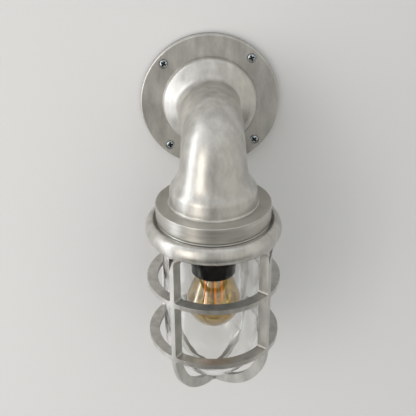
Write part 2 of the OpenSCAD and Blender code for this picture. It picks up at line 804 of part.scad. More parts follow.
// Outline of the globe with its neck, drawn in by t, in radius and height
module globe_section(t) {
    globe_r = globe_d / 2;
    neck_r = cap_r - thread_depth - cap_wall - 0.3;
    neck_top_z = cap_rim_z + (t > 0 ? 6 : 5);
    join_a = 26;
    join = [(globe_r - t) * cos(join_a), globe_z + (globe_r - t) * sin(join_a)];
    shoulder = [neck_r + 1.8 - t, cap_rim_z - 2.6];
    pull = [neck_r + 5.8 - t, globe_z + 17];
    polygon(concat(
        [[0, globe_z - globe_r + t]],
        arc_points(0, globe_z, globe_r - t, globe_r - t, -90, join_a, 24),
        pulled_curve(join, pull, shoulder, 8),
        [[neck_r + 0.8 - t, cap_rim_z - 1.4], [neck_r - t, cap_rim_z],
         [neck_r - t, neck_top_z], [0, neck_top_z]]));
}

module bulb_globe() {
    color("#C9A25E", 0.55) on_lamp_axis() rotate_extrude() difference() {
        globe_section(0);
        globe_section(glass_t);
    }
}

module bulb_stem() {
    flare_r = cap_r - thread_depth - cap_wall - 0.35 - glass_t;
    color("#DCE3E2", 0.7) on_lamp_axis() rotate_extrude() polygon([
        [0, cap_rim_z + 4.6], [flare_r, cap_rim_z + 4.6], [flare_r - 0.4, cap_rim_z + 3.6],
        [4, cap_rim_z - 1], [stem_r + 1, cap_rim_z - 2.6], [stem_r, filament_top_z],
        [stem_r, filament_bottom_z - 1], [0, filament_bottom_z - 1]]);
}

// Children repeated around the stem at each filament
module at_filaments() {
    for (i = [0:filament_count - 1]) rotate([0, 0, filament_turn + 360 * i / filament_count]) children();
}

module bulb_filaments() {
    color("#F08A1C") on_lamp_axis() at_filaments()
        translate([filament_ring_r, 0, filament_bottom_z]) cylinder(d = filament_d, h = filament_len);
}

module bulb_leads() {
    start = stem_r + 0.06;
    length = filament_ring_r - filament_d / 2 - 0.06 - start;
    color("#9A9A96") on_lamp_axis() at_filaments()
        for (z = [filament_bottom_z + 0.8, filament_top_z - 0.8])
            translate([start, 0, z]) rotate([0, 90, 0]) cylinder(d = lead_d, h = length);
}

module jar_gasket() {
    color("#262626") on_lamp_axis()
        ring(spigot_r - 0.6, gallery_bore_r + 0.3, jar_top_z, spigot_z);
}

// Section of the jar's wall and rim, in radius and height
module jar_section() {
    inner_r = jar_r - jar_wall;
    steps = 32;
    polygon(concat(
        [[inner_r, jar_top_z], [jar_rim_r, jar_top_z], [jar_rim_r, jar_shoulder_z], [jar_r, jar_shoulder_z]],
        arc_points(0, lower_hoop_z, jar_r, jar_r, 0, -90, steps),
        arc_points(0, lower_hoop_z, inner_r, inner_r, -90, 0, steps)));
}

module glass_jar() {
    color("#DDE6E4", 0.35) on_lamp_axis() rotate_extrude() jar_section();
}

module guard_pad() {
    color("#262626") on_lamp_axis() ring(thread_r - 0.6, jar_r + 0.6, ledge_z, jar_shoulder_z);
}

// Section of the guard's top ring, in radius and height
module guard_ring_section() {
    rim_r = collar_d / 2 + rim_reach;
    widest_z = guard_top_z - (guard_top_z - ledge_z) * 0.64;
    bulge = cushion_r - rim_r;
    lead_in = 0.9;
    polygon(concat(
        [[thread_r, guard_top_z - lead_in], [thread_r + lead_in, guard_top_z], [rim_r - 0.3, guard_top_z]],
        arc_points(rim_r, widest_z, bulge, guard_top_z - widest_z, 88, 0, 10),
        arc_points(rim_r, widest_z, bulge, widest_z - guard_under_z + 1, -8, -42, 6),
        [[bar_inner_r, guard_under_z], [jar_r + 0.6, guard_under_z], [jar_r + 0.6, ledge_z], [thread_r, ledge_z]]));
}

// The space between two neighbouring bars, from one height up to another
module bar_window(z_low, z_high) {
    for (a = [0:90:270]) rotate([0, 0, a])
        translate([bar_w / 2, bar_w / 2, z_low]) cube([guard_r + 1, guard_r + 1, z_high - z_low]);
}

// Upright part of the cage: one thick tube with its windows cut out
module upright_cage() {
    top_z = ledge_z + 2.5;
    low_z = lower_hoop_z - bar_w / 2;
    difference() {
        ring(guard_r, bar_inner_r, low_z, top_z);
        bar_window(upper_hoop_z + bar_w / 2, top_z + 1);
        bar_window(lower_hoop_z + bar_w / 2, upper_hoop_z - bar_w / 2);
    }
}

// Bottom of the cage: two crossing bars cut from a half globe
module cage_bottom() {
    top_z = lower_hoop_z - bar_w / 2 + eps;
    difference() {
        translate([0, 0, lower_hoop_z]) sphere(r = guard_r);
        translate([0, 0, lower_hoop_z]) sphere(r = bar_inner_r);
        translate([-guard_r - 1, -guard_r - 1, top_z]) cube([2 * guard_r + 2, 2 * guard_r + 2, guard_r + 5]);
        bar_window(lower_hoop_z - guard_r - 1, top_z + 1);
    }
    translate([0, 0, lower_hoop_z - guard_r - 0.3]) cylinder(r = hub_r, h = bar_depth + 0.8);
}

// Fillets on both sides of a bar, under the top ring
module bar_fillets() {
    low_z = guard_under_z + 0.5 - bar_fillet;
    reach = bar_w / 2 + bar_fillet;
    translate([bar_inner_r + 0.3, 0, 0]) rotate([90, 0, 90])
        linear_extrude(cushion_r - bar_inner_r - 1.1) difference() {
            translate([-reach, low_z]) square([2 * reach, bar_fillet + 0.4]);
            for (side = [-1, 1]) translate([side * reach, low_z]) circle(r = bar_fillet);
        }
}

module cage_guard() {
    color("#A9A69F") on_lamp_axis() {
        rotate_extrude() guard_ring_section();
        rotate([0, 0, -45 + bar_turn]) {
            upright_cage();
            cage_bottom();
            for (a = [0:90:270]) rotate([0, 0, a]) bar_fillets();
        }
    }
}

elbow_casting();
wall_gasket();
wall_screws();
cable_grommet();
terminal_bracket();
bracket_screws();
terminal_block();
terminal_screws();
block_screws();
earth_tag();
earth_screw();
earth_wire();
live_wire();
neutral_wire();
bell_gasket();
gallery_collar();
gallery_screws();
holder_nipple();
nipple_locknut();
holder_cap();
holder_skirt();
holder_insert();
holder_terminals();
holder_shell();
holder_contact();
bulb_screw_cap();
bulb_insulator();
bulb_tip();
bulb_globe();
bulb_stem();
bulb_filaments();
bulb_leads();
jar_gasket();
glass_jar();
guard_pad();
cage_guard();
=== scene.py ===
# %% [markdown]
# # A caged bulkhead wall light
# The real object is a cast aluminium light for a wall. A round flange with a domed boss carries an
# elbow, the elbow opens into a bell, and a glass jar in a cast cage hangs under the bell.
# The measured solids come in first as a fixed frame. The pieces that show are then modelled again
# in mesh code with soft edges and fillets, and every piece gets a finish made of shader nodes.

import math

import bmesh
import bpy
from mathutils import Matrix, Vector


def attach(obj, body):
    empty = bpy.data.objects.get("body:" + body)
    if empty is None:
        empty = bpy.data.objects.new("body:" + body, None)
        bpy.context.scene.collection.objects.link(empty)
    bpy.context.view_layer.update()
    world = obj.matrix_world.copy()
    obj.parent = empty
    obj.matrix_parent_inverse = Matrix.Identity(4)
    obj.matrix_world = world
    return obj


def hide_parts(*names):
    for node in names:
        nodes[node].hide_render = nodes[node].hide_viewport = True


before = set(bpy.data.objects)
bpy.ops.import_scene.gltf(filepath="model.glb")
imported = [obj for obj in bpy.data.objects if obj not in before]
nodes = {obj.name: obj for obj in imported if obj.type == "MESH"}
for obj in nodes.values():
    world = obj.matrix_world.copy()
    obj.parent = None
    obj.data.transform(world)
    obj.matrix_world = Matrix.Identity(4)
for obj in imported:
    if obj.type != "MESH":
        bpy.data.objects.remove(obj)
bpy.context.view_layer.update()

# %% [markdown]
# ## Camera
# The photograph looks down on the light from a little left of its middle. The camera could be aimed
# at a target by eye. Its place and angles came instead from fitting the round edges of the flange,
# bell, collar and hoops, so they are written as numbers, in millimetres and degrees.

# %% Place the camera
MM = 0.001
CAMERA_PLACE = Vector((-21.79, -635.04, 241.92))
CAMERA_YAW = math.radians(1.795)
CAMERA_PITCH = math.radians(-28.421)
CAMERA_ROLL = math.radians(-0.298)
CAMERA_LENS = 70.47
SENSOR_WIDTH = 36.0
NEAREST_SEEN = 0.01

camera_data = bpy.data.cameras.new("camera")
camera_data.lens = CAMERA_LENS
camera_data.sensor_width = SENSOR_WIDTH
camera_data.clip_start = NEAREST_SEEN
camera = bpy.data.objects.new("camera", camera_data)
bpy.context.scene.collection.objects.link(camera)

ahead = Vector((
    math.sin(CAMERA_YAW) * math.cos(CAMERA_PITCH),
    math.cos(CAMERA_YAW) * math.cos(CAMERA_PITCH),
    math.sin(CAMERA_PITCH)))
level_right = Vector((math.cos(CAMERA_YAW), -math.sin(CAMERA_YAW), 0))
level_up = level_right.cross(ahead)
right = level_right * math.cos(CAMERA_ROLL) + level_up * math.sin(CAMERA_ROLL)
up = level_up * math.cos(CAMERA_ROLL) - level_right * math.sin(CAMERA_ROLL)
camera.matrix_world = Matrix.Translation(CAMERA_PLACE * MM) @ Matrix(
    (right, up, -ahead)).transposed().to_4x4()
bpy.context.scene.camera = camera
print("camera looks along", [round(v, 3) for v in ahead])

# %% [markdown]
# ## Helpers for finishes
# A colour is written as the sRGB hex value that a screen shows, and one function turns it into the
# linear numbers that the renderer works in. Another small function adds a shader node with its
# settings and links. A third gives a finish the patches and the grain that a real surface has.

# %% Colour and node helpers
# A Mix node has several sockets of one name, so its colour sockets are reached by number
COLOUR_A = 6
COLOUR_B = 7
MIXED_COLOUR = 2


def linear(code):
    """The linear colour of an sRGB hex value such as #A9A69F, with alpha 1."""
    parts = [int(code[i:i + 2], 16) / 255 for i in (1, 3, 5)]
    return [c / 12.92 if c <= 0.04045 else ((c + 0.055) / 1.055) ** 2.4 for c in parts] + [1.0]


def add_node(tree, kind, settings=None, links=None):
    """Adds a shader node, gives it its settings and links its inputs."""
    node = tree.nodes.new(kind)
    for key, value in (settings or {}).items():
        if isinstance(key, int) or key in node.inputs:
            node.inputs[key].default_value = value
        else:
            setattr(node, key, value)
    for key, source in (links or {}).items():
        tree.links.new(source, node.inputs[key])
    return node


def new_material(name, colour, **sockets):
    """A material with one Principled shader. Returns the material, its tree and the shader."""
    material = bpy.data.materials.new(name)
    material.use_nodes = True
    tree = material.node_tree
    shader = tree.nodes["Principled BSDF"]
    shader.inputs["Base Color"].default_value = linear(colour)
    for key, value in sockets.items():
        shader.inputs[key.replace("_", " ")].default_value = value
    return material, tree, shader


print("the grey #A9A69F in linear light:", [round(c, 3) for c in linear("#A9A69F")])

# %% Patches and grain
# A noise scale counts the patches in one metre
METRE_MM = 1000
PATCH_NOISE = {"Detail": 6.0, "Roughness": 0.62}
GRAIN_DETAIL = 2.0
# Between these levels of the noise the colour and the roughness go from end to end
TONE_LEVELS = {"From Min": 0.35, "From Max": 0.65}
DULL_LEVELS = {"From Min": 0.3, "From Max": 0.7}


def vary(material, tree, shader, light, dark, patch_mm, rough, grain_mm, bump_mm,
         stretch=(1, 1, 1)):
    """Gives a finish its patches of colour and roughness, and its fine grain as a bump."""
    place = add_node(tree, "ShaderNodeTexCoord")
    scaled = add_node(tree, "ShaderNodeMapping", {"Scale": stretch},
                      {"Vector": place.outputs["Object"]})
    patches = add_node(tree, "ShaderNodeTexNoise", {"Scale": METRE_MM / patch_mm, **PATCH_NOISE},
                       {"Vector": scaled.outputs["Vector"]})
    tone = add_node(tree, "ShaderNodeMapRange", TONE_LEVELS, {"Value": patches.outputs["Fac"]})
    mixed = add_node(tree, "ShaderNodeMix",
                     {"data_type": "RGBA", COLOUR_A: linear(dark), COLOUR_B: linear(light)},
                     {"Factor": tone.outputs["Result"]})
    tree.links.new(mixed.outputs[MIXED_COLOUR], shader.inputs["Base Color"])
    dull = add_node(tree, "ShaderNodeMapRange",
                    {"To Min": rough[0], "To Max": rough[1], **DULL_LEVELS},
                    {"Value": patches.outputs["Fac"]})
    tree.links.new(dull.outputs["Result"], shader.inputs["Roughness"])
    grain = add_node(tree, "ShaderNodeTexNoise",
                     {"Scale": METRE_MM / grain_mm, "Detail": GRAIN_DETAIL},
                     {"Vector": scaled.outputs["Vector"]})
    bump = add_node(tree, "ShaderNodeBump", {"Strength": 1.0, "Distance": bump_mm * MM},
                    {"Height": grain.outputs["Fac"]})
    tree.links.new(bump.outputs["Normal"], shader.inputs["Normal"])
    return material


print("a finish with 9 mm patches has", round(METRE_MM / 9.0), "of them in a metre")

# %% [markdown]
# ## Cast aluminium, satin polished
# The castings are sand cast aluminium that was ground and brushed to a soft satin. That gives the eye
# wide soft highlights, faint cloudy patches where the belt pressed harder, and a warm grey tone.
# A metal shader with patchy roughness and a fine grain shows all three. Its metallic share is a
# little below one, because the thin oxide on such metal scatters some light of its own. The real
# grain is too fine for a picture of this size, so it is drawn about a millimetre wide.

# %% Make the aluminium finishes
# The castings, with patches drawn out a little upward
satin = new_material("cast_aluminium_satin_polished", "#C2C0BB", Metallic=0.82)
cast_metal = vary(*satin, light="#CDCBC5", dark="#B2B0AA", patch_mm=9.0, rough=(0.30, 0.39),
                  grain_mm=0.8, bump_mm=0.024, stretch=(1.0, 1.0, 0.4))
# The collar, cut on a lathe: its patches are long round the axis and low in height
turned = new_material("cast_aluminium_turned_and_polished", "#C2C0BB", Metallic=0.86)
turned_metal = vary(*turned, light="#C6C4BD", dark="#B2B0A9", patch_mm=8.0, rough=(0.30, 0.37),
                    grain_mm=1.0, bump_mm=0.020, stretch=(0.25, 0.25, 3.0))
print("aluminium finishes:", cast_metal.name, turned_metal.name)

# %% [markdown]
# ## Glass
# The jar is pressed soda-lime glass: clear, about 3.5 mm thick, with long soft waves from the mould.
# The lamp's globe is thin blown glass with an amber tint and shorter waves. Both let the light
# through at an index near that of real glass, and get their waves as a low bump. The tint could be
# one flat colour, but the eye looks through more glass toward the globe's outline. So a Layer Weight
# node deepens it there.

# %% Make the glass finishes


def add_waves(tree, shader, per_metre, height_mm, strength=1.0, detail=1.0):
    """Gives a surface its waves, as a bump of soft noise with so many waves in a metre."""
    place = add_node(tree, "ShaderNodeTexCoord")
    waves = add_node(tree, "ShaderNodeTexNoise", {"Scale": per_metre, "Detail": detail},
                     {"Vector": place.outputs["Object"]})
    bump = add_node(tree, "ShaderNodeBump", {"Strength": strength, "Distance": height_mm * MM},
                    {"Height": waves.outputs["Fac"]})
    tree.links.new(bump.outputs["Normal"], shader.inputs["Normal"])


# Clear and smooth, with waves about 14 mm long. Its specular level is a little under the usual
# 0.5, so that its own reflections don't veil the lamp behind it.
clear_glass, clear_tree, clear_shader = new_material(
    "soda_lime_glass_pressed", "#FDFDFC", Roughness=0.01, IOR=1.46,
    Transmission_Weight=1.0, Specular_IOR_Level=0.36)
add_waves(clear_tree, clear_shader, 70.0, 0.25)
# Amber, with waves about 6 mm long and a hard coat that gives it bright, sharp reflections
amber_glass, amber_tree, amber_shader = new_material(
    "soda_lime_glass_blown_amber", "#E6D09A", Roughness=0.0, IOR=1.5,
    Transmission_Weight=1.0, Coat_Weight=1.0, Coat_IOR=1.9, Coat_Roughness=0.0)
amber_edge = add_node(amber_tree, "ShaderNodeLayerWeight", {"Blend": 0.35})
amber_tint = add_node(
    amber_tree, "ShaderNodeMix",
    {"data_type": "RGBA", COLOUR_A: linear("#E6D396"), COLOUR_B: linear("#AE8638")},
    {"Factor": amber_edge.outputs["Facing"]})
amber_tree.links.new(amber_tint.outputs[MIXED_COLOUR], amber_shader.inputs["Base Color"])
add_waves(amber_tree, amber_shader, 160.0, 0.1)
# The stem inside the lamp: clear drawn glass, a little dull where it was pinched
stem_glass = new_material("lead_glass_drawn_stem", "#F2F4F2", Roughness=0.03, IOR=1.55,
                          Transmission_Weight=1.0)[0]
print("glass finishes:", clear_glass.name, amber_glass.name, stem_glass.name)

# %% [markdown]
# ## Plastic, rubber and ceramic
# These pieces are moulded or pressed, so their patches are faint and their grain is low. What sets
# them apart for the eye is gloss: a polished tool leaves the lampholder almost like a mirror, glaze
# makes porcelain shine, and rubber stays matt. Each roughness starts from that.

# %% Make the plastic, rubber and ceramic finishes
# The lampholder: black thermoset from a polished tool, nearly black and glossy
black_plastic = vary(
    *new_material("phenolic_moulded_black", "#070707", IOR=1.38),
    light="#0A0A0A", dark="#050505", patch_mm=9.0, rough=(0.05, 0.09), grain_mm=0.8, bump_mm=0.003)
# Gaskets and grommet: dark and matt
rubber = vary(
    *new_material("epdm_rubber_moulded", "#2A2A29", IOR=1.5),
    light="#343433", dark="#232322", patch_mm=5.0, rough=(0.6, 0.8), grain_mm=0.5, bump_mm=0.03)
# The lampholder's insert: warm white under a clear glaze
porcelain = vary(
    *new_material("porcelain_glazed", "#EDEAE2", IOR=1.5, Coat_Weight=0.6, Coat_Roughness=0.04),
    light="#F1EEE7", dark="#E6E2D8", patch_mm=6.0, rough=(0.25, 0.35), grain_mm=1.0, bump_mm=0.01)
# The terminal block: soft white with a dull sheen
white_plastic = vary(
    *new_material("polyamide_moulded_white", "#E9E6DC", IOR=1.53),
    light="#EDEBE2", dark="#E1DDD1", patch_mm=6.0, rough=(0.4, 0.55), grain_mm=0.6, bump_mm=0.01)
# The insulator at the lamp's foot: black pressed glass
black_glass = vary(
    *new_material("vitrite_pressed_black", "#1A1A1E", IOR=1.52),
    light="#202024", dark="#141418", patch_mm=4.0, rough=(0.12, 0.2), grain_mm=0.8, bump_mm=0.01)
print("finishes so far:", len(bpy.data.materials))

# %% [markdown]
# ## Small metals
# Screws, straps and contacts are rolled, turned or plated metal. Zinc looks slightly blue, brass is
# yellow, and tin and nickel are a warmer grey. All are full metals with small patches, except in the
# recess of a screw's head. There worn zinc and dirt make the metal dull, and part of its dark colour
# is painted shade that stands for the shadow inside the recess.

# %% Make the small metals
# Screws with bright zinc
zinc = vary(
    *new_material("steel_bright_zinc_plated", "#AEB8BE", Metallic=1.0),
    light="#D2DADF", dark="#B0BAC1", patch_mm=2.0, rough=(0.22, 0.38), grain_mm=0.4, bump_mm=0.01)
# The same screws inside their cross recess: dirt and worn zinc, darkened further as painted shade
recess_dirt_and_painted_shade = vary(
    *new_material("steel_zinc_plated_recess_dirt_and_painted_shade", "#23282B", Metallic=0.4),
    light="#2B3134", dark="#1B1F22", patch_mm=1.0, rough=(0.45, 0.6), grain_mm=0.4, bump_mm=0.01)
# The strap of the terminal block, from zinc plated sheet
sheet_steel = vary(
    *new_material("steel_sheet_zinc_plated", "#B0B5B8", Metallic=1.0),
    light="#BCC1C4", dark="#9DA3A6", patch_mm=4.0, rough=(0.3, 0.45), grain_mm=0.6, bump_mm=0.01)
# Nipple, nut, shell and contacts
brass = vary(
    *new_material("brass_turned", "#C9A75A", Metallic=1.0),
    light="#D6B66C", dark="#B8954A", patch_mm=5.0, rough=(0.22, 0.36), grain_mm=0.5, bump_mm=0.006)
# The earth tag
tinned = vary(
    *new_material("brass_tinned", "#C9C6B8", Metallic=1.0),
    light="#D2D0C4", dark="#B5B2A4", patch_mm=3.0, rough=(0.3, 0.45), grain_mm=0.5, bump_mm=0.008)
# The lamp's cap, tip and lead wires
nickel = vary(
    *new_material("brass_nickel_plated", "#C8C9C6", Metallic=1.0),
    light="#D2D3D0", dark="#B6B7B4", patch_mm=4.0, rough=(0.15, 0.28), grain_mm=0.5, bump_mm=0.005)
print("finishes so far:", len(bpy.data.materials))

# %% [markdown]
# ## Wire insulation and filament coat
# The wires are extruded PVC: smooth, evenly coloured, with a soft shine. The earth wire's two colours
# come as patches of green and yellow. The filaments carry a matt orange coat of silicone and
# phosphor.
# The lamp is not lit, so the little light that the coat's shader gives off is a painted glow.

# %% Make the wire and filament finishes
earth_colour = vary(
    *new_material("pvc_extruded_green_yellow", "#7FA63A", IOR=1.53),
    light="#C9B92E", dark="#3E8E3C", patch_mm=4.0, rough=(0.35, 0.5), grain_mm=0.6, bump_mm=0.01)
live_colour = vary(
    *new_material("pvc_extruded_brown", "#6B3F25", IOR=1.53),
    light="#74462B", dark="#613820", patch_mm=4.0, rough=(0.35, 0.5), grain_mm=0.6, bump_mm=0.01)
neutral_colour = vary(
    *new_material("pvc_extruded_blue", "#2F5FA8", IOR=1.53),
    light="#3768B3", dark="#28559A", patch_mm=4.0, rough=(0.35, 0.5), grain_mm=0.6, bump_mm=0.01)
# The coat's emission is a painted glow, since the lamp is not lit
coat = new_material("silicone_phosphor_coated_painted_glow", "#FF9A12", IOR=1.41, Emission_Strength=0.5,
                    Emission_Color=linear("#FFA014"))
painted_glow = vary(*coat, light="#FFA21E", dark="#F58E0C", patch_mm=2.0, rough=(0.35, 0.5),
            grain_mm=0.5, bump_mm=0.02)
print("finishes so far:", len(bpy.data.materials))

# %% [markdown]
# ## Mesh helpers
# Most pieces of a light are turned shapes: an outline that goes once round an axis. The outline is
# written as corners with a radius each, because a real edge is never sharp and the small radius
# catches the highlight. One function makes a piece from points and faces, and another tells the
# frame which body it rides on and which solid it stands for.

# %% Points on outlines and round an axis
LAMP_Y = -76.0
TURN_STEPS = 128


def rounded(corners, steps=5):
    """Points of a closed outline whose corners (a, b, radius) are rounded."""
    points = []
    for i, (a, b, radius) in enumerate(corners):
        here = Vector((a, b))
        if radius == 0:
            points.append(here)
            continue
        before = (Vector(corners[i - 1][:2]) - here).normalized()
        after = (Vector(corners[(i + 1) % len(corners)][:2]) - here).normalized()
        half = before.angle(after) / 2
        middle = here + (before + after).normalized() * radius / math.sin(half)
        start = here + before * radius / math.tan(half) - middle
        end = here + after * radius / math.tan(half) - middle
        turn = start.angle(end)
        for k in range(steps + 1):
            share = k / steps
            points.append(middle + (start * math.sin((1 - share) * turn)
                                    + end * math.sin(share * turn)) / math.sin(turn))
    return points


def arc(centre, radius, first, last, steps):
    """Points (a, b) on an arc from one angle to another, in degrees."""
    angles = [math.radians(first + (last - first) * i / steps) for i in range(steps + 1)]
    return [Vector((centre[0] + radius * math.cos(t), centre[1] + radius * math.sin(t)))
            for t in angles]


def around_lamp(radius, height, angle):
    """A point at a radius, height and angle round the lamp's upright axis."""
    return Vector((radius * math.cos(angle), LAMP_Y + radius * math.sin(angle), height))


def around_wall_axis(radius, depth, angle):
    """A point at a radius, depth from the wall and angle round the flange's axis."""
    return Vector((radius * math.cos(angle), -depth, radius * math.sin(angle)))


def turned_shape(outline, place, steps=TURN_STEPS):
    """Points and faces of a closed outline that goes once round an axis."""
    angles = [2 * math.pi * i / steps for i in range(steps)]
    points = [place(a, b, angle) for angle in angles for a, b in outline]
    size = len(outline)
    faces = []
    for i in range(steps):
        j = (i + 1) % steps
        for k in range(size):
            m = (k + 1) % size
            faces.append((i * size + k, j * size + k, j * size + m, i * size + m))
    return points, faces


print("a square with rounded corners has", len(rounded([(0, 0, 1), (9, 0, 1), (9, 9, 1), (0, 9, 1)])),
      "points")

# %% Make, cut and settle a piece
# Points nearer than this are one point, and edges shorter than this are none, in millimetres
SAME_POINT = 0.002
NO_EDGE = 0.001
# An edge that turns by more degrees than this is drawn sharp
SHARP_DEGREES = 38


def finish_mesh(shape, mesh, sharp_degrees=SHARP_DEGREES):
    """Merges doubles, faces all normals outward, and keeps only the sharp edges sharp."""
    bmesh.ops.remove_doubles(shape, verts=shape.verts, dist=SAME_POINT * MM)
    bmesh.ops.dissolve_degenerate(shape, edges=shape.edges, dist=NO_EDGE * MM)
    bmesh.ops.recalc_face_normals(shape, faces=shape.faces)
    for face in shape.faces:
        face.smooth = True
    limit = math.radians(sharp_degrees)
    for edge in shape.edges:
        edge.smooth = len(edge.link_faces) == 2 and edge.calc_face_angle(0) < limit
    shape.to_mesh(mesh)
    shape.free()


def new_object(name, points, faces, material):
    """A mesh object from points in millimetres and faces."""
    mesh = bpy.data.meshes.new(name)
    shape = bmesh.new()
    corners = [shape.verts.new(Vector(p) * MM) for p in points]
    for face in faces:
        if len(set(face)) > 2:
            shape.faces.new([corners[i] for i in face])
    finish_mesh(shape, mesh)
    piece = bpy.data.objects.new(name, mesh)
    bpy.context.scene.collection.objects.link(piece)
    mesh.materials.append(material)
    return piece


def settle(piece, body, slot_name, *stands_for):
    """Puts a finished piece on its body, in place of the solids that it stands for."""
    even = piece.modifiers.new("even_shading", "WEIGHTED_NORMAL")
    even.keep_sharp = True
    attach(piece, body)
    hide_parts(*stands_for)
    print(piece.name, "has", len(piece.data.polygons), "faces")


def carve(piece, cutters):
    """Cuts the cutters out of a piece, then deletes them. A cut face takes its cutter's finish."""
    for cutter in cutters:
        cut = piece.modifiers.new("cut", "BOOLEAN")
        cut.operation = "DIFFERENCE"
        cut.solver = "EXACT"
        cut.object = cutter
        cut.material_mode = "TRANSFER"
    bpy.context.view_layer.update()
    seen = piece.evaluated_get(bpy.context.evaluated_depsgraph_get())
    mesh = bpy.data.meshes.new_from_object(seen)
    piece.modifiers.clear()
    shape = bmesh.new()
    shape.from_mesh(mesh)
    finish_mesh(shape, mesh)
    piece.data = mesh
    for cutter in cutters:
        bpy.data.objects.remove(cutter)


print("edges stay soft up to", SHARP_DEGREES, "degrees")

# %% [markdown]
# ## Elbow casting
# Flange, dome, tube, bend and bell are one casting with no seam. It could be a disc, a dome and a
# bent tube joined by booleans, but then every join would be a hard line. Here the whole casting is
# a stack of rings along one path: out from the flange, round the bend, down the bell, and back
# inside as the hollow, which closes the shape. The recesses for the wall screws are cut last.

# %% Name the sizes of the casting
FLANGE_R = 57.0
FLANGE_BACK = 1.5
FLANGE_FACE = 6.5
DOME_R = 39.0
DOME_FOOT = 8.0
DOME_H = 12.0
TUBE_R = 24.2
WALL = 4.2
BEND_START = 54.0
BEND_R = 22.0
INNER_BEND_R = 4.0
BEND_STEPS = 24
# The bell's outside as height and radius, from the end of the bend to the lip
BELL_OUTLINE = [
    (-30.5, 27.4), (-33.5, 28.6), (-35.5, 29.6), (-37.3, 30.75), (-38.8, 31.85), (-40.1, 32.75),
    (-41.2, 33.4), (-42.0, 33.75), (-42.7, 33.93), (-43.6, 34.03), (-46.0, 34.2), (-49.0, 34.4),
    (-51.9, 34.55), (-52.6, 34.62), (-53.1, 34.8), (-53.5, 35.1), (-53.8, 35.5), (-54.2, 35.6),
    (-54.5, 35.5)]
# The inside of the bell in the same way, from the lip back up to the bend
BELL_INSIDE = [(-54.5, 30.8), (-54.0, 30.5), (-44.0, 30.2), (-36.0, 26.0), (-30.5, 23.2)]
# The hollow of the tube and the wiring space behind it, as depth from the wall and radius
WIRING_SPACE = [(44.0, TUBE_R - WALL), (17.0, TUBE_R - WALL), (9.6, 31.8), (9.0, 32.0),
                (FLANGE_BACK, 32.0)]
# Wall screws: their circle, and the depth of the seats that their heads rest on
SCREW_CIRCLE_R = 50.0
SCREW_ANGLES = [math.radians(45 + 3 + 90 * i) for i in range(4)]
SEAT = 4.8
RING_ANGLES = [2 * math.pi * i / TURN_STEPS for i in range(TURN_STEPS)]
print("bell outline:", len(BELL_OUTLINE), "points, screws at",
      [round(math.degrees(a)) for a in SCREW_ANGLES], "degrees")

# %% [markdown]
# The join of dome and tube isn't the same all round. At the upper left the photograph shows a round
# rim, a long slope and a wide fillet, and at the right a low dome that meets the tube in a crease.
# A fillet with a changing radius could do it, but it leaves bright rings. So both sections are
# written down with the same number of points, and each ring mixes them by its angle.

# %% Write the two sections of the join
SOFT_SIDE = math.radians(150)
SOFT_POWER = 1.5
SOFT_LEAN = math.radians(48)
SOFT_RIM_R = 5.0
RIM_INSET = 0.05
RIM_START = 0.3
SOFT_FILLET_R = 14.5
CREASE_FILLET_R = 2.0
CREASE_TURN = math.radians(74.7)
RIM_STEPS = 4
FILLET_STEPS = 6
DOME_STEPS = 7


def dome_depth(radius):
    """Depth of the dome's face at a radius."""
    return DOME_FOOT + DOME_H * math.sqrt(max(0.0, 1 - (radius / DOME_R) ** 2))


def fillet(radius, first_turn, top_depth):
    """Points (radius, depth) of a fillet that ends along the tube."""
    turns = [first_turn * (1 - i / FILLET_STEPS) for i in range(FILLET_STEPS + 1)]
    return [Vector((TUBE_R + radius * (1 - math.cos(t)), top_depth - radius * math.sin(t)))
            for t in turns]


def soft_join():
    """The section at the upper left: a round rim, a long slope, and a wide fillet into the tube."""
    turns = [SOFT_LEAN * i / RIM_STEPS for i in range(RIM_STEPS + 1)]
    rim = [Vector((DOME_R - RIM_INSET - SOFT_RIM_R * (1 - math.cos(t)),
                   DOME_FOOT + RIM_START + SOFT_RIM_R * math.sin(t))) for t in turns]
    foot_radius = TUBE_R + SOFT_FILLET_R * (1 - math.cos(SOFT_LEAN))
    foot = Vector((foot_radius, rim[-1].y + (rim[-1].x - foot_radius) / math.tan(SOFT_LEAN)))
    slope = [rim[-1].lerp(foot, share) for share in (0.25, 0.5, 0.75)]
    return rim + slope + fillet(SOFT_FILLET_R, SOFT_LEAN,
                                foot.y + SOFT_FILLET_R * math.sin(SOFT_LEAN))


def crease_join():
    """The section at the right: a low dome that meets the tube in a small fillet."""
    last_radius = TUBE_R + CREASE_FILLET_R * (1 - math.cos(CREASE_TURN))
    last_angle = math.acos(last_radius / DOME_R)
    turns = [last_angle * (0.07 + 0.93 * i / DOME_STEPS) for i in range(DOME_STEPS + 1)]
    dome = [Vector((DOME_R * math.cos(t), DOME_FOOT + DOME_H * math.sin(t))) for t in turns]
    return dome + fillet(CREASE_FILLET_R, CREASE_TURN,
                         dome_depth(last_radius) + CREASE_FILLET_R * math.sin(CREASE_TURN))


def join_ring(soft, crease):
    """A ring whose points lie between the two sections, more to one or the other by their angle."""
    points = []
    for angle in RING_ANGLES:
        share = (0.5 + 0.5 * math.cos(angle - SOFT_SIDE)) ** SOFT_POWER
        radius, depth = crease.lerp(soft, share)
        points.append(around_wall_axis(radius, depth, angle))
    return points


print("points in each section:", len(soft_join()), "and", len(crease_join()))

# %% Write the rings of the tube, bend and bell
# The bend starts a hair narrower than the tube. Its outside then widens, most of it late, and its
# inner curve ends a little further from the lamp's axis than the tube's radius.
BEND_START_R = TUBE_R - 0.1
BEND_WIDENS = 2.0
WIDENS_LATE = 2.2
INNER_WIDENS = 0.4


def ring_of(centre, side, upper):
    """The points of a ring from its centre, side vector and upper vector."""
    return [centre + side * math.cos(angle) + upper * math.sin(angle) for angle in RING_ANGLES]


def wall_ring(depth, radius):
    """A ring round the flange's axis."""
    return ring_of(Vector((0, -depth, 0)), Vector((radius, 0, 0)), Vector((0, 0, radius)))


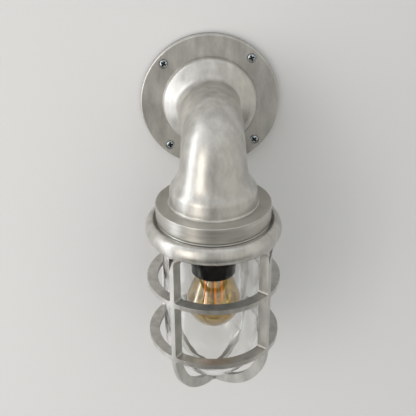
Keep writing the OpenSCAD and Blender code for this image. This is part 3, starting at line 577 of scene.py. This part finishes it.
def bend_ring(angle, side_r, outer_r, inner_r):
    """A ring through the bend, between its outer and its inner curve."""
    sine = math.sin(angle)
    cosine = math.cos(angle)
    outer = Vector((0, -BEND_START - outer_r * sine, -BEND_R + outer_r * cosine))
    inner_y = LAMP_Y + TUBE_R + INNER_WIDENS + inner_r
    inner_z = -TUBE_R - inner_r
    inner = Vector((0, inner_y - inner_r * sine, inner_z + inner_r * cosine))
    return ring_of((outer + inner) / 2, Vector((side_r, 0, 0)), (outer - inner) / 2)


def lamp_ring(height, radius):
    """A ring round the lamp's axis, in the sense that carries on from the bend."""
    return ring_of(Vector((0, LAMP_Y, height)), Vector((radius, 0, 0)), Vector((0, -radius, 0)))


face_edge = rounded([(DOME_R, FLANGE_FACE, 0.3), (FLANGE_R, FLANGE_FACE, 1.3),
                     (FLANGE_R, FLANGE_BACK, 0.4), (33.0, FLANGE_BACK, 0)])
rings = [wall_ring(depth, radius) for radius, depth in reversed(face_edge)]
# The dome's foot stands straight up from the flange before its rim starts
rings += [wall_ring(DOME_FOOT - 0.9, DOME_R - RIM_INSET)]
rings += [join_ring(soft, crease) for soft, crease in zip(soft_join(), crease_join())]
rings += [wall_ring(depth, TUBE_R) for depth in (32.0, 35.0, 38.0, 42.0, 46.0)]
for i in range(BEND_STEPS + 1):
    turn = math.radians(90 * i / BEND_STEPS)
    grown = BEND_START_R + BEND_WIDENS * (i / BEND_STEPS) ** WIDENS_LATE
    rings.append(bend_ring(turn, grown, BEND_R + grown, INNER_BEND_R))
rings += [lamp_ring(height, radius) for height, radius in BELL_OUTLINE + BELL_INSIDE]
for i in range(BEND_STEPS, -1, -2):
    turn = math.radians(90 * i / BEND_STEPS)
    rings.append(bend_ring(turn, TUBE_R - WALL, BEND_R + TUBE_R - WALL, INNER_BEND_R + WALL))
rings += [wall_ring(depth, radius) for depth, radius in WIRING_SPACE]
print("rings along the casting:", len(rings))

# %% Join the rings and cut the seats of the wall screws
ring_points = [point for ring in rings for point in ring]
ring_faces = []
for i in range(len(rings)):
    j = (i + 1) % len(rings)
    for k in range(TURN_STEPS):
        m = (k + 1) % TURN_STEPS
        ring_faces.append((i * TURN_STEPS + k, i * TURN_STEPS + m,
                           j * TURN_STEPS + m, j * TURN_STEPS + k))
casting = new_object("elbow_with_flange_and_bell", ring_points, ring_faces, cast_metal)
CUTTER_STEPS = 48
# A wall screw's recess and its hole, as radius, first depth and last depth of the cut
RECESS_CUT = (4.1, SEAT, 9.0)
HOLE_CUT = (2.4, 0.0, 8.0)


def rod(name, centre, radius, first_depth, last_depth):
    """A plain rod along the flange's axis, to cut with."""
    outline = rounded([(0, first_depth, 0), (radius, first_depth, 0),
                       (radius, last_depth, 0), (0, last_depth, 0)])
    points, faces = turned_shape(outline, around_wall_axis, CUTTER_STEPS)
    offset = Vector((centre[0], 0, centre[1]))
    return new_object(name, [p + offset for p in points], faces, cast_metal)


cutters = []
for angle in SCREW_ANGLES:
    spot = (SCREW_CIRCLE_R * math.cos(angle), SCREW_CIRCLE_R * math.sin(angle))
    cutters.append(rod("recess_cutter", spot, *RECESS_CUT))
    cutters.append(rod("hole_cutter", spot, *HOLE_CUT))
carve(casting, cutters)
settle(casting, "fixture", "cast_aluminium", "elbow_casting")

# %% [markdown]
# ## Gallery collar
# The collar is a turned ring with a small crisp edge. Its lower part is the spigot that the cage
# screws onto. The thread could be a true helix, but ridges 2 mm apart read as a thread from any
# side, and they keep the piece one closed turned shape.

# %% Build the gallery collar
COLLAR_R = 45.3
COLLAR_TOP = -54.5
COLLAR_LOW = -67.4
SPIGOT_R = 44.7
SPIGOT_IN_R = 40.0
SPIGOT_LOW = -74.5
# The floor has a hole for the nipple, and a groove on top for the gasket of the bell
NIPPLE_HOLE_R = 5.2
GROOVE_IN_R = 31.3
GROOVE_OUT_R = 34.3
GROOVE_LOW = -55.5
FLOOR_LOW = -58.5
# A ridge of the thread, as radius, drop from the ridge's start, and radius of the corner
THREAD_PITCH = 2.0
ROOT_OF_THREAD = SPIGOT_R - 0.6
RIDGE = ((ROOT_OF_THREAD, 0.0, 0.1), (SPIGOT_R, 0.7, 0.2), (SPIGOT_R, 1.0, 0.2),
         (ROOT_OF_THREAD, 1.7, 0.1))
collar_corners = [
    (NIPPLE_HOLE_R, COLLAR_TOP, 0), (GROOVE_IN_R, COLLAR_TOP, 0), (GROOVE_IN_R, GROOVE_LOW, 0),
    (GROOVE_OUT_R, GROOVE_LOW, 0), (GROOVE_OUT_R, COLLAR_TOP, 0.2), (COLLAR_R, COLLAR_TOP, 0.6),
    (COLLAR_R, COLLAR_LOW, 0.5), (ROOT_OF_THREAD, COLLAR_LOW, 0)]
height = COLLAR_LOW - 1.0
while height > SPIGOT_LOW + THREAD_PITCH:
    collar_corners += [(radius, height - drop, corner) for radius, drop, corner in RIDGE]
    height -= THREAD_PITCH
collar_corners += [
    (ROOT_OF_THREAD, SPIGOT_LOW, 0.4), (SPIGOT_IN_R, SPIGOT_LOW, 0.4),
    (SPIGOT_IN_R, FLOOR_LOW, 0.8), (NIPPLE_HOLE_R, FLOOR_LOW, 0)]
collar_shape = turned_shape(rounded(collar_corners, 4), around_lamp)
collar = new_object("gallery_collar_turned", *collar_shape, turned_metal)
settle(collar, "fixture", "cast_aluminium", "gallery_collar")

# %% [markdown]
# ## Cage guard
# The cage is one casting: a cushion-shaped ring, four upright blades, two hoops, and the blades
# crossing under the jar. It could be a pile of crossing boxes, but a real casting flows from one
# member into the next. So its skin is laid out as a net of four-sided faces over the ring, blades
# and hoops, the inner corners are filleted, and then every outer edge is softened.

# %% Write the helpers of the net
CAGE_R = 54.0
CAGE_IN_R = 45.6
HALF_BLADE = 2.0
HALF_HOOP = 2.0
BLADE_ANGLES = [math.radians(-38.5 + 90 * i) for i in range(4)]
HOOPS = [-122.3, -174.9]
SPHERE_Z = HOOPS[1]
WINDOW_STEPS = 12
# Fillets where a blade meets the ring, a hoop and the next blade under the jar
RING_FILLET = 5.0
HOOP_FILLET = 2.0
BOTTOM_FILLET = 2.6
net = bmesh.new()
net_corners = {}
fillet_edges = []


def net_corner(point):
    """The net's corner at a point in millimetres, made once."""
    key = tuple(round(v, 3) for v in point)
    if key not in net_corners:
        net_corners[key] = net.verts.new(Vector(point) * MM)
    return net_corners[key]


def net_face(*points):
    """One face of the net, unless it is there already."""
    corners = [net_corner(p) for p in points]
    if len(set(corners)) == len(corners) and net.faces.get(corners) is None:
        net.faces.new(corners)


def blade_point(blade, side, radius, height):
    """A point on a blade's left or right side face."""
    out = Vector((math.cos(BLADE_ANGLES[blade]), math.sin(BLADE_ANGLES[blade]), 0))
    across = Vector((-out.y, out.x, 0))
    along = math.sqrt(radius ** 2 - HALF_BLADE ** 2)
    return Vector((0, LAMP_Y, height)) + out * along + across * HALF_BLADE * side


def window_point(blade, step, radius, height):
    """A point in the window after a blade: step 0 is that blade, the last step is the next one."""
    if step == 0:
        return blade_point(blade, 1, radius, height)
    if step == WINDOW_STEPS:
        return blade_point((blade + 1) % 4, -1, radius, height)
    margin = math.asin(HALF_BLADE / radius)
    share = step / WINDOW_STEPS
    angle = BLADE_ANGLES[blade] + margin + (math.pi / 2 - 2 * margin) * share
    return around_lamp(radius, height, angle)


print("blades at", [round(math.degrees(a), 1) for a in BLADE_ANGLES], "degrees")

# %% Lay out the ring of the cage
# The ring's section goes over the cushion, down its lower edge and back up inside
CUSHION_R = 5.2
CUSHION_H = 7.9
CUSHION_Z = -76.0
CUSHION = arc((48.6, CUSHION_Z), CUSHION_R, 100, 0, 8)
CUSHION = [Vector((p.x, CUSHION_Z + (p.y - CUSHION_Z) * CUSHION_H / CUSHION_R)) for p in CUSHION]
RING_LOW = -81.2
LEDGE_LOW = -83.5
LOWER_EDGE = [(53.7, -78.2), (53.1, -79.9), (52.2, RING_LOW)]
RING_IN = [(CAGE_IN_R, LEDGE_LOW), (41.6, LEDGE_LOW), (41.6, -80.5), (45.0, -80.5), (45.0, -70.9),
           (46.9, -69.4)]
# Place of the lowest outer corner in the section
LOW = len(CUSHION) + len(LOWER_EDGE) - 1


def ring_section(is_blade):
    """The ring's section at a blade or in a window."""
    section = [(p.x, p.y) for p in CUSHION] + LOWER_EDGE + RING_IN
    # At a blade the lower edge stands out as far as the blade does
    if is_blade:
        section[LOW - 2] = (53.95, -78.2)
        section[LOW - 1] = (CAGE_R, -79.9)
        section[LOW] = (CAGE_R, RING_LOW)
    return section


for blade in range(4):
    for step in range(WINDOW_STEPS):
        here = [window_point(blade, step, r, z) for r, z in ring_section(step == 0)]
        beyond = [window_point(blade, step + 1, r, z)
                  for r, z in ring_section(step + 1 == WINDOW_STEPS)]
        for k in range(len(here)):
            m = (k + 1) % len(here)
            net_face(here[k], beyond[k], beyond[m], here[m])
    left = [blade_point(blade, -1, r, z) for r, z in ring_section(True)]
    right_side = [blade_point(blade, 1, r, z) for r, z in ring_section(True)]
    for k in range(len(left)):
        m = (k + 1) % len(left)
        if k != LOW:
            net_face(left[k], right_side[k], right_side[m], left[m])
    for side in (-1, 1):
        fillet_edges.append((blade_point(blade, side, CAGE_R, RING_LOW),
                             blade_point(blade, side, CAGE_IN_R, LEDGE_LOW), RING_FILLET))
print("ring laid out:", len(net.faces), "faces")

# %% [markdown]
# The blades go down from the ring as rows of four corners. Where a hoop crosses, the blade's side
# faces are left open and the hoop's faces join there. Below the lower hoop the rows follow a
# sphere, and the last row of each blade meets its neighbours in a small square under the jar.

# %% Set the rows of the blades
rows = [((CAGE_R, RING_LOW), (CAGE_IN_R, LEDGE_LOW))]
for height in (-92.0, -106.0, HOOPS[0] + HALF_HOOP, HOOPS[0] - HALF_HOOP,
               -140.0, -157.0, HOOPS[1] + HALF_HOOP, HOOPS[1] - HALF_HOOP):
    rows.append(((CAGE_R, height), (CAGE_IN_R, height)))
# The steps down the sphere, in degrees below the lower hoop
for degrees in range(10, 86, 6):
    slope = math.radians(degrees)
    rows.append(((CAGE_R * math.cos(slope), SPHERE_Z - CAGE_R * math.sin(slope)),
                 (CAGE_IN_R * math.cos(slope), SPHERE_Z - CAGE_IN_R * math.sin(slope))))
# The last row lies beside the sphere's lowest point, so it's a hair higher than that
BESIDE_LOWEST = 0.05
corner_r = HALF_BLADE * math.sqrt(2)
rows.append(((corner_r, SPHERE_Z - CAGE_R + BESIDE_LOWEST),
             (corner_r, SPHERE_Z - CAGE_IN_R + BESIDE_LOWEST)))
# The two rows that a hoop crosses
HOOP_ROWS = (3, 7)
print("rows down each blade:", len(rows))

# %% Add the blades, hoops and bottom
for blade in range(4):
    for i in range(len(rows) - 1):
        (out_a, in_a), (out_b, in_b) = rows[i], rows[i + 1]
        outer = [blade_point(blade, side, *spot)
                 for side, spot in ((-1, out_a), (1, out_a), (1, out_b), (-1, out_b))]
        inner = [blade_point(blade, side, *spot)
                 for side, spot in ((-1, in_a), (1, in_a), (1, in_b), (-1, in_b))]
        net_face(*outer)
        net_face(*reversed(inner))
        if i not in HOOP_ROWS:
            net_face(outer[0], outer[3], inner[3], inner[0])
            net_face(outer[2], outer[1], inner[1], inner[2])
    for hoop in HOOPS:
        for step in range(WINDOW_STEPS):
            corners = []
            for radius in (CAGE_R, CAGE_IN_R):
                for level in (hoop + HALF_HOOP, hoop - HALF_HOOP):
                    corners.append((window_point(blade, step, radius, level),
                                    window_point(blade, step + 1, radius, level)))
            out_top, out_low, in_top, in_low = corners
            net_face(out_top[0], out_low[0], out_low[1], out_top[1])
            net_face(in_top[0], in_top[1], in_low[1], in_low[0])
            net_face(out_top[0], out_top[1], in_top[1], in_top[0])
            net_face(out_low[0], in_low[0], in_low[1], out_low[1])
        for side in (-1, 1):
            for level in (hoop + HALF_HOOP, hoop - HALF_HOOP):
                fillet_edges.append((blade_point(blade, side, CAGE_R, level),
                                     blade_point(blade, side, CAGE_IN_R, level), HOOP_FILLET))
    fillet_edges.append((blade_point(blade, 1, *rows[-1][0]), blade_point(blade, 1, *rows[-1][1]),
                         BOTTOM_FILLET))
for spot in rows[-1]:
    net_face(*[blade_point(blade, 1, *spot) for blade in range(4)])
bmesh.ops.recalc_face_normals(net, faces=net.faces)
open_edges = [e for e in net.edges if len(e.link_faces) != 2]
print("net of the cage:", len(net.faces), "faces,", len(open_edges), "open edges")

# %% [markdown]
# Fillets first, then edges. Each inner corner of a window gets its fillet as a bevel, wide under the
# ring and small at the hoops. A second bevel rounds every edge that is still square, because the
# bars of the real cage have soft edges that carry its highlights.

# %% Fillet and soften the cage
EDGE_ROUND = 1.7
SQUARE_DEGREES = 50
CAGE_SHARP_DEGREES = 60
BEVEL = {"offset_type": "OFFSET", "segments": 4, "profile": 0.5, "affect": "EDGES"}
for width in (RING_FILLET, HOOP_FILLET, BOTTOM_FILLET):
    wanted = []
    for first, second, size in fillet_edges:
        if size == width:
            edge = net.edges.get((net_corner(first), net_corner(second)))
            if edge is not None:
                wanted.append(edge)
    bmesh.ops.bevel(net, geom=wanted, offset=width * MM, clamp_overlap=False, **BEVEL)
    print("fillets of", width, "mm:", len(wanted))
square = [e for e in net.edges if len(e.link_faces) == 2
          and e.calc_face_angle_signed(0) > math.radians(SQUARE_DEGREES)]
bmesh.ops.bevel(net, geom=square, offset=EDGE_ROUND * MM, clamp_overlap=True, **BEVEL)
cage_mesh = bpy.data.meshes.new("cage_guard_cast")
finish_mesh(net, cage_mesh, CAGE_SHARP_DEGREES)
cage = bpy.data.objects.new("cage_guard_cast", cage_mesh)
bpy.context.scene.collection.objects.link(cage)
cage_mesh.materials.append(cast_metal)
settle(cage, "guard", "cast_aluminium", "cage_guard")

# %% [markdown]
# ## Glass jar
# The jar is a straight tube with a half-round bottom and a flat rim. It could be one thin skin, but
# glass must have its real thickness with an outer and an inner skin, or light doesn't bend in it as
# it does in the photograph. So the outline goes down outside and comes back up inside.

# %% Build the glass jar
JAR_R = 41.0
JAR_WALL = 3.5
JAR_TOP = -76.0
RIM_R = 44.0
RIM_LOW = -79.5
JAR_STEPS = 160
BOTTOM_STEPS = 40
jar_outline = rounded([(JAR_R - JAR_WALL, JAR_TOP, 0.8), (RIM_R, JAR_TOP, 0.8),
                       (RIM_R, RIM_LOW, 0.8), (JAR_R, RIM_LOW, 0.6)], 4)
jar_outline += arc((0, SPHERE_Z), JAR_R, 0, -90, BOTTOM_STEPS)
jar_outline += arc((0, SPHERE_Z), JAR_R - JAR_WALL, -90, 0, BOTTOM_STEPS)
jar = new_object("glass_jar_pressed", *turned_shape(jar_outline, around_lamp, JAR_STEPS),
                 clear_glass)
settle(jar, "jar", "clear_glass", "glass_jar")

# %% [markdown]
# ## Lampholder skirt and cap
# The lampholder is black moulded plastic in two parts that screw together. The skirt has a small lip
# and a rounded bottom edge, and the cap is domed at its top. Both could be plain tubes, but it is
# the lip and the edges that catch the light on a black piece, so both are turned outlines with a
# radius at every corner.

# %% Build the lampholder
HOLDER_R = 18.4
HOLDER_Z = -117.8
# Height where skirt and cap meet, and radius of the hole for the nipple
HOLDER_SEAM = -87.0
HOLDER_HOLE_R = 5.05
skirt_outline = rounded([
    (14.6, HOLDER_Z, 0.3), (HOLDER_R - 0.4, HOLDER_Z, 0.8), (HOLDER_R, HOLDER_Z + 9.4, 0.3),
    (HOLDER_R + 0.6, HOLDER_Z + 10.0, 0.3), (HOLDER_R + 0.6, HOLDER_Z + 11.6, 0.3),
    (HOLDER_R, HOLDER_Z + 12.2, 0.3), (HOLDER_R, HOLDER_SEAM, 0.3), (16.9, HOLDER_SEAM, 0.2),
    (16.9, HOLDER_Z + 3.0, 0.4), (14.6, HOLDER_Z + 3.0, 0.2)], 6)
skirt = new_object("lampholder_skirt_moulded", *turned_shape(skirt_outline, around_lamp),
                   black_plastic)
settle(skirt, "fixture", "black_plastic", "holder_skirt")
cap_outline = rounded([
    (HOLDER_HOLE_R, -58.5, 0.2), (8.5, -58.5, 0.6), (8.5, -63.5, 1.5), (14.5, -66.0, 3.0),
    (HOLDER_R, -73.5, 4.0), (HOLDER_R, -86.8, 0.2), (16.8, -86.8, 0), (16.8, -93.5, 0.2),
    (15.5, -93.5, 0.2), (15.5, -73.5, 2.0), (12.5, -68.5, 2.0), (HOLDER_HOLE_R, -67.5, 0.2)], 6)
cap = new_object("lampholder_cap_moulded", *turned_shape(cap_outline, around_lamp), black_plastic)
settle(cap, "fixture", "black_plastic", "holder_cap")

# %% [markdown]
# ## Lamp
# The lamp is a small round globe of thin amber glass over a clear stem that carries four straight
# filaments. A ball would do for the globe, but the real one draws in to a neck. So its outline is
# an arc and a curve into the neck, written once and used again inside, smaller by the glass. Each
# filament is a thin rod under an orange phosphor coat, slightly domed at its ends.

# %% Build the globe
GLOBE_R = 22.5
GLOBE_Z = -146.2
GLASS = 0.8
# The ball's outline ends this many degrees above the level
BALL_END = 26
BALL_STEPS = 38
# A curve goes on toward the first point and ends in the second, as radius and height
BEND_POINT = (17.4, -129.2)
SHOULDER = (13.4, -119.4)
SHOULDER_STEPS = 10
NECK = [(12.6, -118.2), (11.6, -117.2), (11.6, -111.8)]


def globe_skin(inset):
    """Outline of the globe from its lowest point up to the neck, drawn in by the glass."""
    ball = arc((0, GLOBE_Z), GLOBE_R - inset, -90, BALL_END, BALL_STEPS)
    last = ball[-1]
    middle = Vector((BEND_POINT[0] - inset, BEND_POINT[1]))
    shoulder = Vector((SHOULDER[0] - inset, SHOULDER[1]))
    blend = []
    for i in range(1, SHOULDER_STEPS + 1):
        t = i / SHOULDER_STEPS
        blend.append(last * (1 - t) ** 2 + middle * 2 * t * (1 - t) + shoulder * t * t)
    return ball + blend + [Vector((radius - inset, height)) for radius, height in NECK]


globe_outline = globe_skin(0) + list(reversed(globe_skin(GLASS)))
globe = new_object("lamp_globe_blown", *turned_shape(globe_outline, around_lamp), amber_glass)
settle(globe, "bulb", "amber_glass", "bulb_globe")

# %% Build the filaments
FILAMENT_RING_R = 7.0
FILAMENT_R = 0.9
FILAMENT_END_R = 0.6
FILAMENT_TOP = -120.1
FILAMENT_LEN = 30.0
FILAMENT_STEPS = 24
filament_points = []
filament_faces = []
rod_outline = rounded([(0, 0, 0), (FILAMENT_R, 0, FILAMENT_END_R),
                       (FILAMENT_R, -FILAMENT_LEN, FILAMENT_END_R), (0, -FILAMENT_LEN, 0)], 4)
for i in range(4):
    spot = math.radians(10 + 90 * i)
    points, faces = turned_shape(rod_outline, around_lamp, FILAMENT_STEPS)
    offset = Vector((FILAMENT_RING_R * math.cos(spot), FILAMENT_RING_R * math.sin(spot),
                     FILAMENT_TOP))
    start = len(filament_points)
    filament_points += [p + offset for p in points]
    filament_faces += [tuple(k + start for k in face) for face in faces]
filaments = new_object("light_filaments_coated", filament_points, filament_faces, painted_glow)
settle(filaments, "bulb", "led_filament", "bulb_filaments")

# %% [markdown]
# ## Wall screws
# Four zinc plated screws with a domed head and a cross recess. The cross could be a dark pattern on
# a plain head, but a cut one has walls that catch the light, so two tapering wedges are cut out.
# The cut faces take the darker finish of the wedges, which is dirt and painted shade in the recess.
# Each head is turned to its own angle, as a hand leaves them. The shank goes through the gasket into
# the wall and ends in a point.

# %% Write the outline of a screw
HEAD_R = 3.3
head_outline = [Vector((0, SEAT + 1.9)), Vector((1.6, SEAT + 1.87)), Vector((2.5, SEAT + 1.75)),
                Vector((2.95, SEAT + 1.5)), Vector((3.2, SEAT + 1.05)), Vector((HEAD_R, SEAT + 0.5)),
                Vector((HEAD_R - 0.1, SEAT)), Vector((1.6, SEAT))]
# The thread's crests and roots go down into the wall
CREST_R = 2.1
ROOT_R = 1.6
SCREW_PITCH = 1.4
CREST_TO_ROOT = 0.9
THREAD_END = -19.0
depth = 0.0
while depth > THREAD_END:
    head_outline += [Vector((CREST_R, depth)), Vector((ROOT_R, depth - CREST_TO_ROOT))]
    depth -= SCREW_PITCH
head_outline += [Vector((1.4, -21.0)), Vector((0, -25.0))]
print("points on a screw's outline:", len(head_outline))

# %% Build the wall screws
SCREW_STEPS = 48
SCREW_TURNS = [math.radians(a) for a in (20, 62, 8, 40)]
# Half length, half width and depth of a wedge at its bottom and at its top
WEDGE = ((1.9, 0.5, SEAT + 0.2), (2.5, 0.8, SEAT + 2.3))
WEDGE_FACES = ((0, 1, 2, 3), (4, 7, 6, 5), (0, 4, 5, 1), (1, 5, 6, 2), (2, 6, 7, 3), (3, 7, 4, 0))


def cross_cutters(centre, turn):
    """Two tapering wedges that cut the cross from a screw's head."""
    wedges = []
    for angle in (turn, turn + math.pi / 2):
        points = []
        for long_half, thin_half, level in WEDGE:
            for a, b in ((-1, -1), (1, -1), (1, 1), (-1, 1)):
                x = a * long_half
                z = b * thin_half
                points.append((centre[0] + x * math.cos(angle) - z * math.sin(angle), -level,
                               centre[1] + x * math.sin(angle) + z * math.cos(angle)))
        # The wedges carry the dark recess finish, which is partly painted shade
        wedges.append(new_object("cross_cutter", points, WEDGE_FACES, recess_dirt_and_painted_shade))
    return wedges


for number, angle in enumerate(SCREW_ANGLES):
    spot = (SCREW_CIRCLE_R * math.cos(angle), SCREW_CIRCLE_R * math.sin(angle))
    points, faces = turned_shape(head_outline, around_wall_axis, SCREW_STEPS)
    offset = Vector((spot[0], 0, spot[1]))
    screw = new_object(f"wall_screw_{number + 1}", [p + offset for p in points], faces, zinc)
    carve(screw, cross_cutters(spot, SCREW_TURNS[number]))
    settle(screw, "fixture", "zinc_steel", "wall_screws")

# %% [markdown]
# ## Hidden pieces
# The solids inside the light could all be modelled again, but their own shape is right and little
# of them shows. They only need their finish, so each node's material slots are set here. The frame
# doesn't allow a solid to be changed, but its material slots may be set, so each node is given its
# material here.

# %% Give the remaining solids their finishes
FINISHES = {
    "wall_gasket": rubber, "cable_grommet": rubber, "bell_gasket": rubber, "jar_gasket": rubber,
    "guard_pad": rubber, "terminal_bracket": sheet_steel, "bracket_screws": zinc,
    "terminal_block": white_plastic, "terminal_screws": brass, "block_screws": zinc,
    "earth_tag": tinned, "earth_screw": brass, "earth_wire": earth_colour,
    "live_wire": live_colour, "neutral_wire": neutral_colour, "gallery_screws": zinc,
    "holder_nipple": brass, "nipple_locknut": brass, "holder_insert": porcelain,
    "holder_terminals": brass, "holder_shell": brass, "holder_contact": brass,
    "bulb_screw_cap": nickel, "bulb_insulator": black_glass, "bulb_tip": nickel,
    "bulb_stem": stem_glass, "bulb_leads": nickel}
for name, material in FINISHES.items():
    solid = nodes[name]
    if not solid.material_slots:
        solid.data.materials.append(material)
    for holder in solid.material_slots:
        holder.material = material
print("finished solids:", len(FINISHES))

# %% [markdown]
# ## Wall and floor
# The light hangs on a painted wall. One sheet would do from the room, but a view from behind has to
# show the back of the light. So the paint can be seen from the room only, and four sheets leave an
# open circle round the flange's axis, a little smaller than the flange that hides it.

# %% Make the wall paint
# Matt paint put on with a roller, which leaves soft bumps of about 4 mm
paint, paint_tree, paint_shader = new_material("wall_paint_matt", "#E7E7E7", Roughness=0.85, IOR=1.45)
add_waves(paint_tree, paint_shader, 260.0, 0.3, strength=0.25, detail=3.0)
facing = add_node(paint_tree, "ShaderNodeNewGeometry")
open_back = add_node(paint_tree, "ShaderNodeBsdfTransparent")
one_sided = add_node(paint_tree, "ShaderNodeMixShader", None,
                     {0: facing.outputs["Backfacing"], 1: paint_shader.outputs["BSDF"],
                      2: open_back.outputs["BSDF"]})
paint_tree.links.new(one_sided.outputs["Shader"],
                     paint_tree.nodes["Material Output"].inputs["Surface"])
print("wall paint:", paint.name)

# %% Build the wall and floor
# The stage is in metres, and the wall stands just behind the gasket's back
WALL_Y = 0.0003
WALL_SIDE = 3
WALL_TOP = 2.4
FLOOR_Z = -1.6
FLOOR_FRONT = -1.0
OPEN_R = 0.0558
QUARTER_STEPS = 16


def sheet_object(name, corners, material):
    """A flat sheet of the stage from its corners in metres."""
    mesh = bpy.data.meshes.new(name)
    mesh.from_pydata(corners, [], [range(len(corners))])
    mesh.materials.append(material)
    sheet = bpy.data.objects.new(name, mesh)
    bpy.context.scene.collection.objects.link(sheet)


wall_corners = [(WALL_SIDE, WALL_Y, WALL_TOP), (-WALL_SIDE, WALL_Y, WALL_TOP),
                (-WALL_SIDE, WALL_Y, FLOOR_Z), (WALL_SIDE, WALL_Y, FLOOR_Z)]
for quarter in range(4):
    turns = [math.pi * (0.25 + 0.5 * (quarter + i / QUARTER_STEPS))
             for i in range(QUARTER_STEPS, -1, -1)]
    edge = [(OPEN_R * math.cos(t), WALL_Y, OPEN_R * math.sin(t)) for t in turns]
    sheet_object(f"wall_{quarter + 1}",
                 [wall_corners[quarter], wall_corners[(quarter + 1) % 4]] + edge, paint)
floor_material = new_material("floor_pale", "#DCDBD8", Roughness=0.8)[0]
sheet_object("floor", [(-WALL_SIDE, FLOOR_FRONT, FLOOR_Z), (WALL_SIDE, FLOOR_FRONT, FLOOR_Z),
                       (WALL_SIDE, WALL_Y, FLOOR_Z), (-WALL_SIDE, WALL_Y, FLOOR_Z)], floor_material)
print("wall and floor are stage pieces")

# %% [markdown]
# ## The room
# Metal shows what stands around it, so the room matters as much as the lamps. It could be one even
# grey, but then the castings look like paint. So its brightness goes by direction: pale at the left
# and right, darker in a gap straight out from the wall, pale overhead and dark below. Every change
# is a soft step. The camera itself sees one plain grey behind everything.

# %% Make the room
ROOM_STRENGTH = 1.22
world = bpy.data.worlds.new("pale_room")
bpy.context.scene.world = world
world.use_nodes = True
sky_tree = world.node_tree
sky = sky_tree.nodes["Background"]
toward = add_node(sky_tree, "ShaderNodeTexCoord")
parts_of = add_node(sky_tree, "ShaderNodeSeparateXYZ", None,
                    {"Vector": toward.outputs["Generated"]})
out_of_wall = add_node(sky_tree, "ShaderNodeMath", {"operation": "MULTIPLY", 1: -1.0},
                       {0: parts_of.outputs["Y"]})
# The angle to the left, below 0, or to the right of straight out from the wall, in radians
azimuth = add_node(sky_tree, "ShaderNodeMath", {"operation": "ARCTAN2"},
                   {0: parts_of.outputs["X"], 1: out_of_wall.outputs[0]}).outputs[0]
# The sine of the angle above the level
height = parts_of.outputs["Z"]
# Each step is 0 at its first value and 1 at its second
STEPS = {"from_left_to_right": (azimuth, -0.3, 0.5), "right_of_gap": (azimuth, 0.0, 0.22),
         "left_of_gap": (azimuth, -0.18, -0.42), "up_the_gap": (height, -0.45, -0.12),
         "overhead": (height, 0.55, 0.85), "below": (height, -0.40, -0.52)}
soft_step = {}
for name, (source, low, high) in STEPS.items():
    soft_step[name] = add_node(
        sky_tree, "ShaderNodeMapRange",
        {"interpolation_type": "SMOOTHSTEP", "From Min": low, "From Max": high},
        {"Value": source}).outputs["Result"]
beside_gap = add_node(sky_tree, "ShaderNodeMath", {"operation": "MAXIMUM"},
                      {0: soft_step["left_of_gap"], 1: soft_step["right_of_gap"]}).outputs[0]
camera_ray = add_node(sky_tree, "ShaderNodeLightPath").outputs["Is Camera Ray"]
print("soft steps in the room:", list(soft_step))

# %% Colour the room
# Each layer goes from one colour to another by its step. A colour is a hex value or an earlier layer.
LAYERS = {
    "sides": (soft_step["from_left_to_right"], "#E0E1E2", "#CBCAC5"),
    "gap": (soft_step["up_the_gap"], "#6F6E6D", "#A09F9D"),
    "level": (beside_gap, "gap", "sides"),
    "with_ceiling": (soft_step["overhead"], "level", "#E0E1E3"),
    "with_ground": (soft_step["below"], "with_ceiling", "#4C4A48"),
    "with_backdrop": (camera_ray, "with_ground", "#D9D9D7")}
layer_colour = {}
for name, (factor, *pair) in LAYERS.items():
    mixer = add_node(sky_tree, "ShaderNodeMix", {"data_type": "RGBA"}, {"Factor": factor})
    for socket, colour in zip((COLOUR_A, COLOUR_B), pair):
        if colour in layer_colour:
            sky_tree.links.new(layer_colour[colour], mixer.inputs[socket])
        else:
            mixer.inputs[socket].default_value = linear(colour)
    layer_colour[name] = mixer.outputs[MIXED_COLOUR]
sky_tree.links.new(layer_colour["with_backdrop"], sky.inputs["Color"])
sky.inputs["Strength"].default_value = ROOM_STRENGTH
print("layers of the room:", list(layer_colour))

# %% [markdown]
# ## Lamps
# The photograph shows a tall window at the left: a broad cool streak down the casting with a crisp
# white core, and a warm, weaker one beside it. One lamp can't be both soft and crisp. So each streak
# has a large soft lamp and a narrow bright pane in front of it.

# %% Set the lamps


def area_lamp(name, place, target, size, energy, colour):
    """A soft oblong lamp at a place, aimed at a target, both in metres, with its power in watts."""
    data = bpy.data.lights.new(name, "AREA")
    data.shape = "RECTANGLE"
    data.size = size[0]
    data.size_y = size[1]
    data.energy = energy
    data.color = linear(colour)[:3]
    lamp = bpy.data.objects.new(name, data)
    lamp.location = place
    lamp.rotation_euler = (Vector(target) - Vector(place)).to_track_quat("-Z", "Y").to_euler()
    lamp.visible_camera = False
    bpy.context.scene.collection.objects.link(lamp)


area_lamp("window_left", (-1.60, -0.30, 0.5), (0, -0.06, 0.5), (0.52, 3.8), 10.3, "#F3F7FF")
area_lamp("window_pane", (-1.55, -0.27, 0.30), (0, -0.06, 0.05), (0.08, 1.4), 1.8, "#FFFFFF")
area_lamp("warm_left", (-0.45, -0.58, -0.06), (0, -0.05, -0.06), (0.25, 0.72), 0.9, "#FFF4E8")
area_lamp("warm_pane", (-0.43, -0.56, -0.03), (0, -0.08, -0.1), (0.05, 0.36), 0.22, "#FFF6EC")
bpy.context.scene.view_settings.view_transform = "Standard"
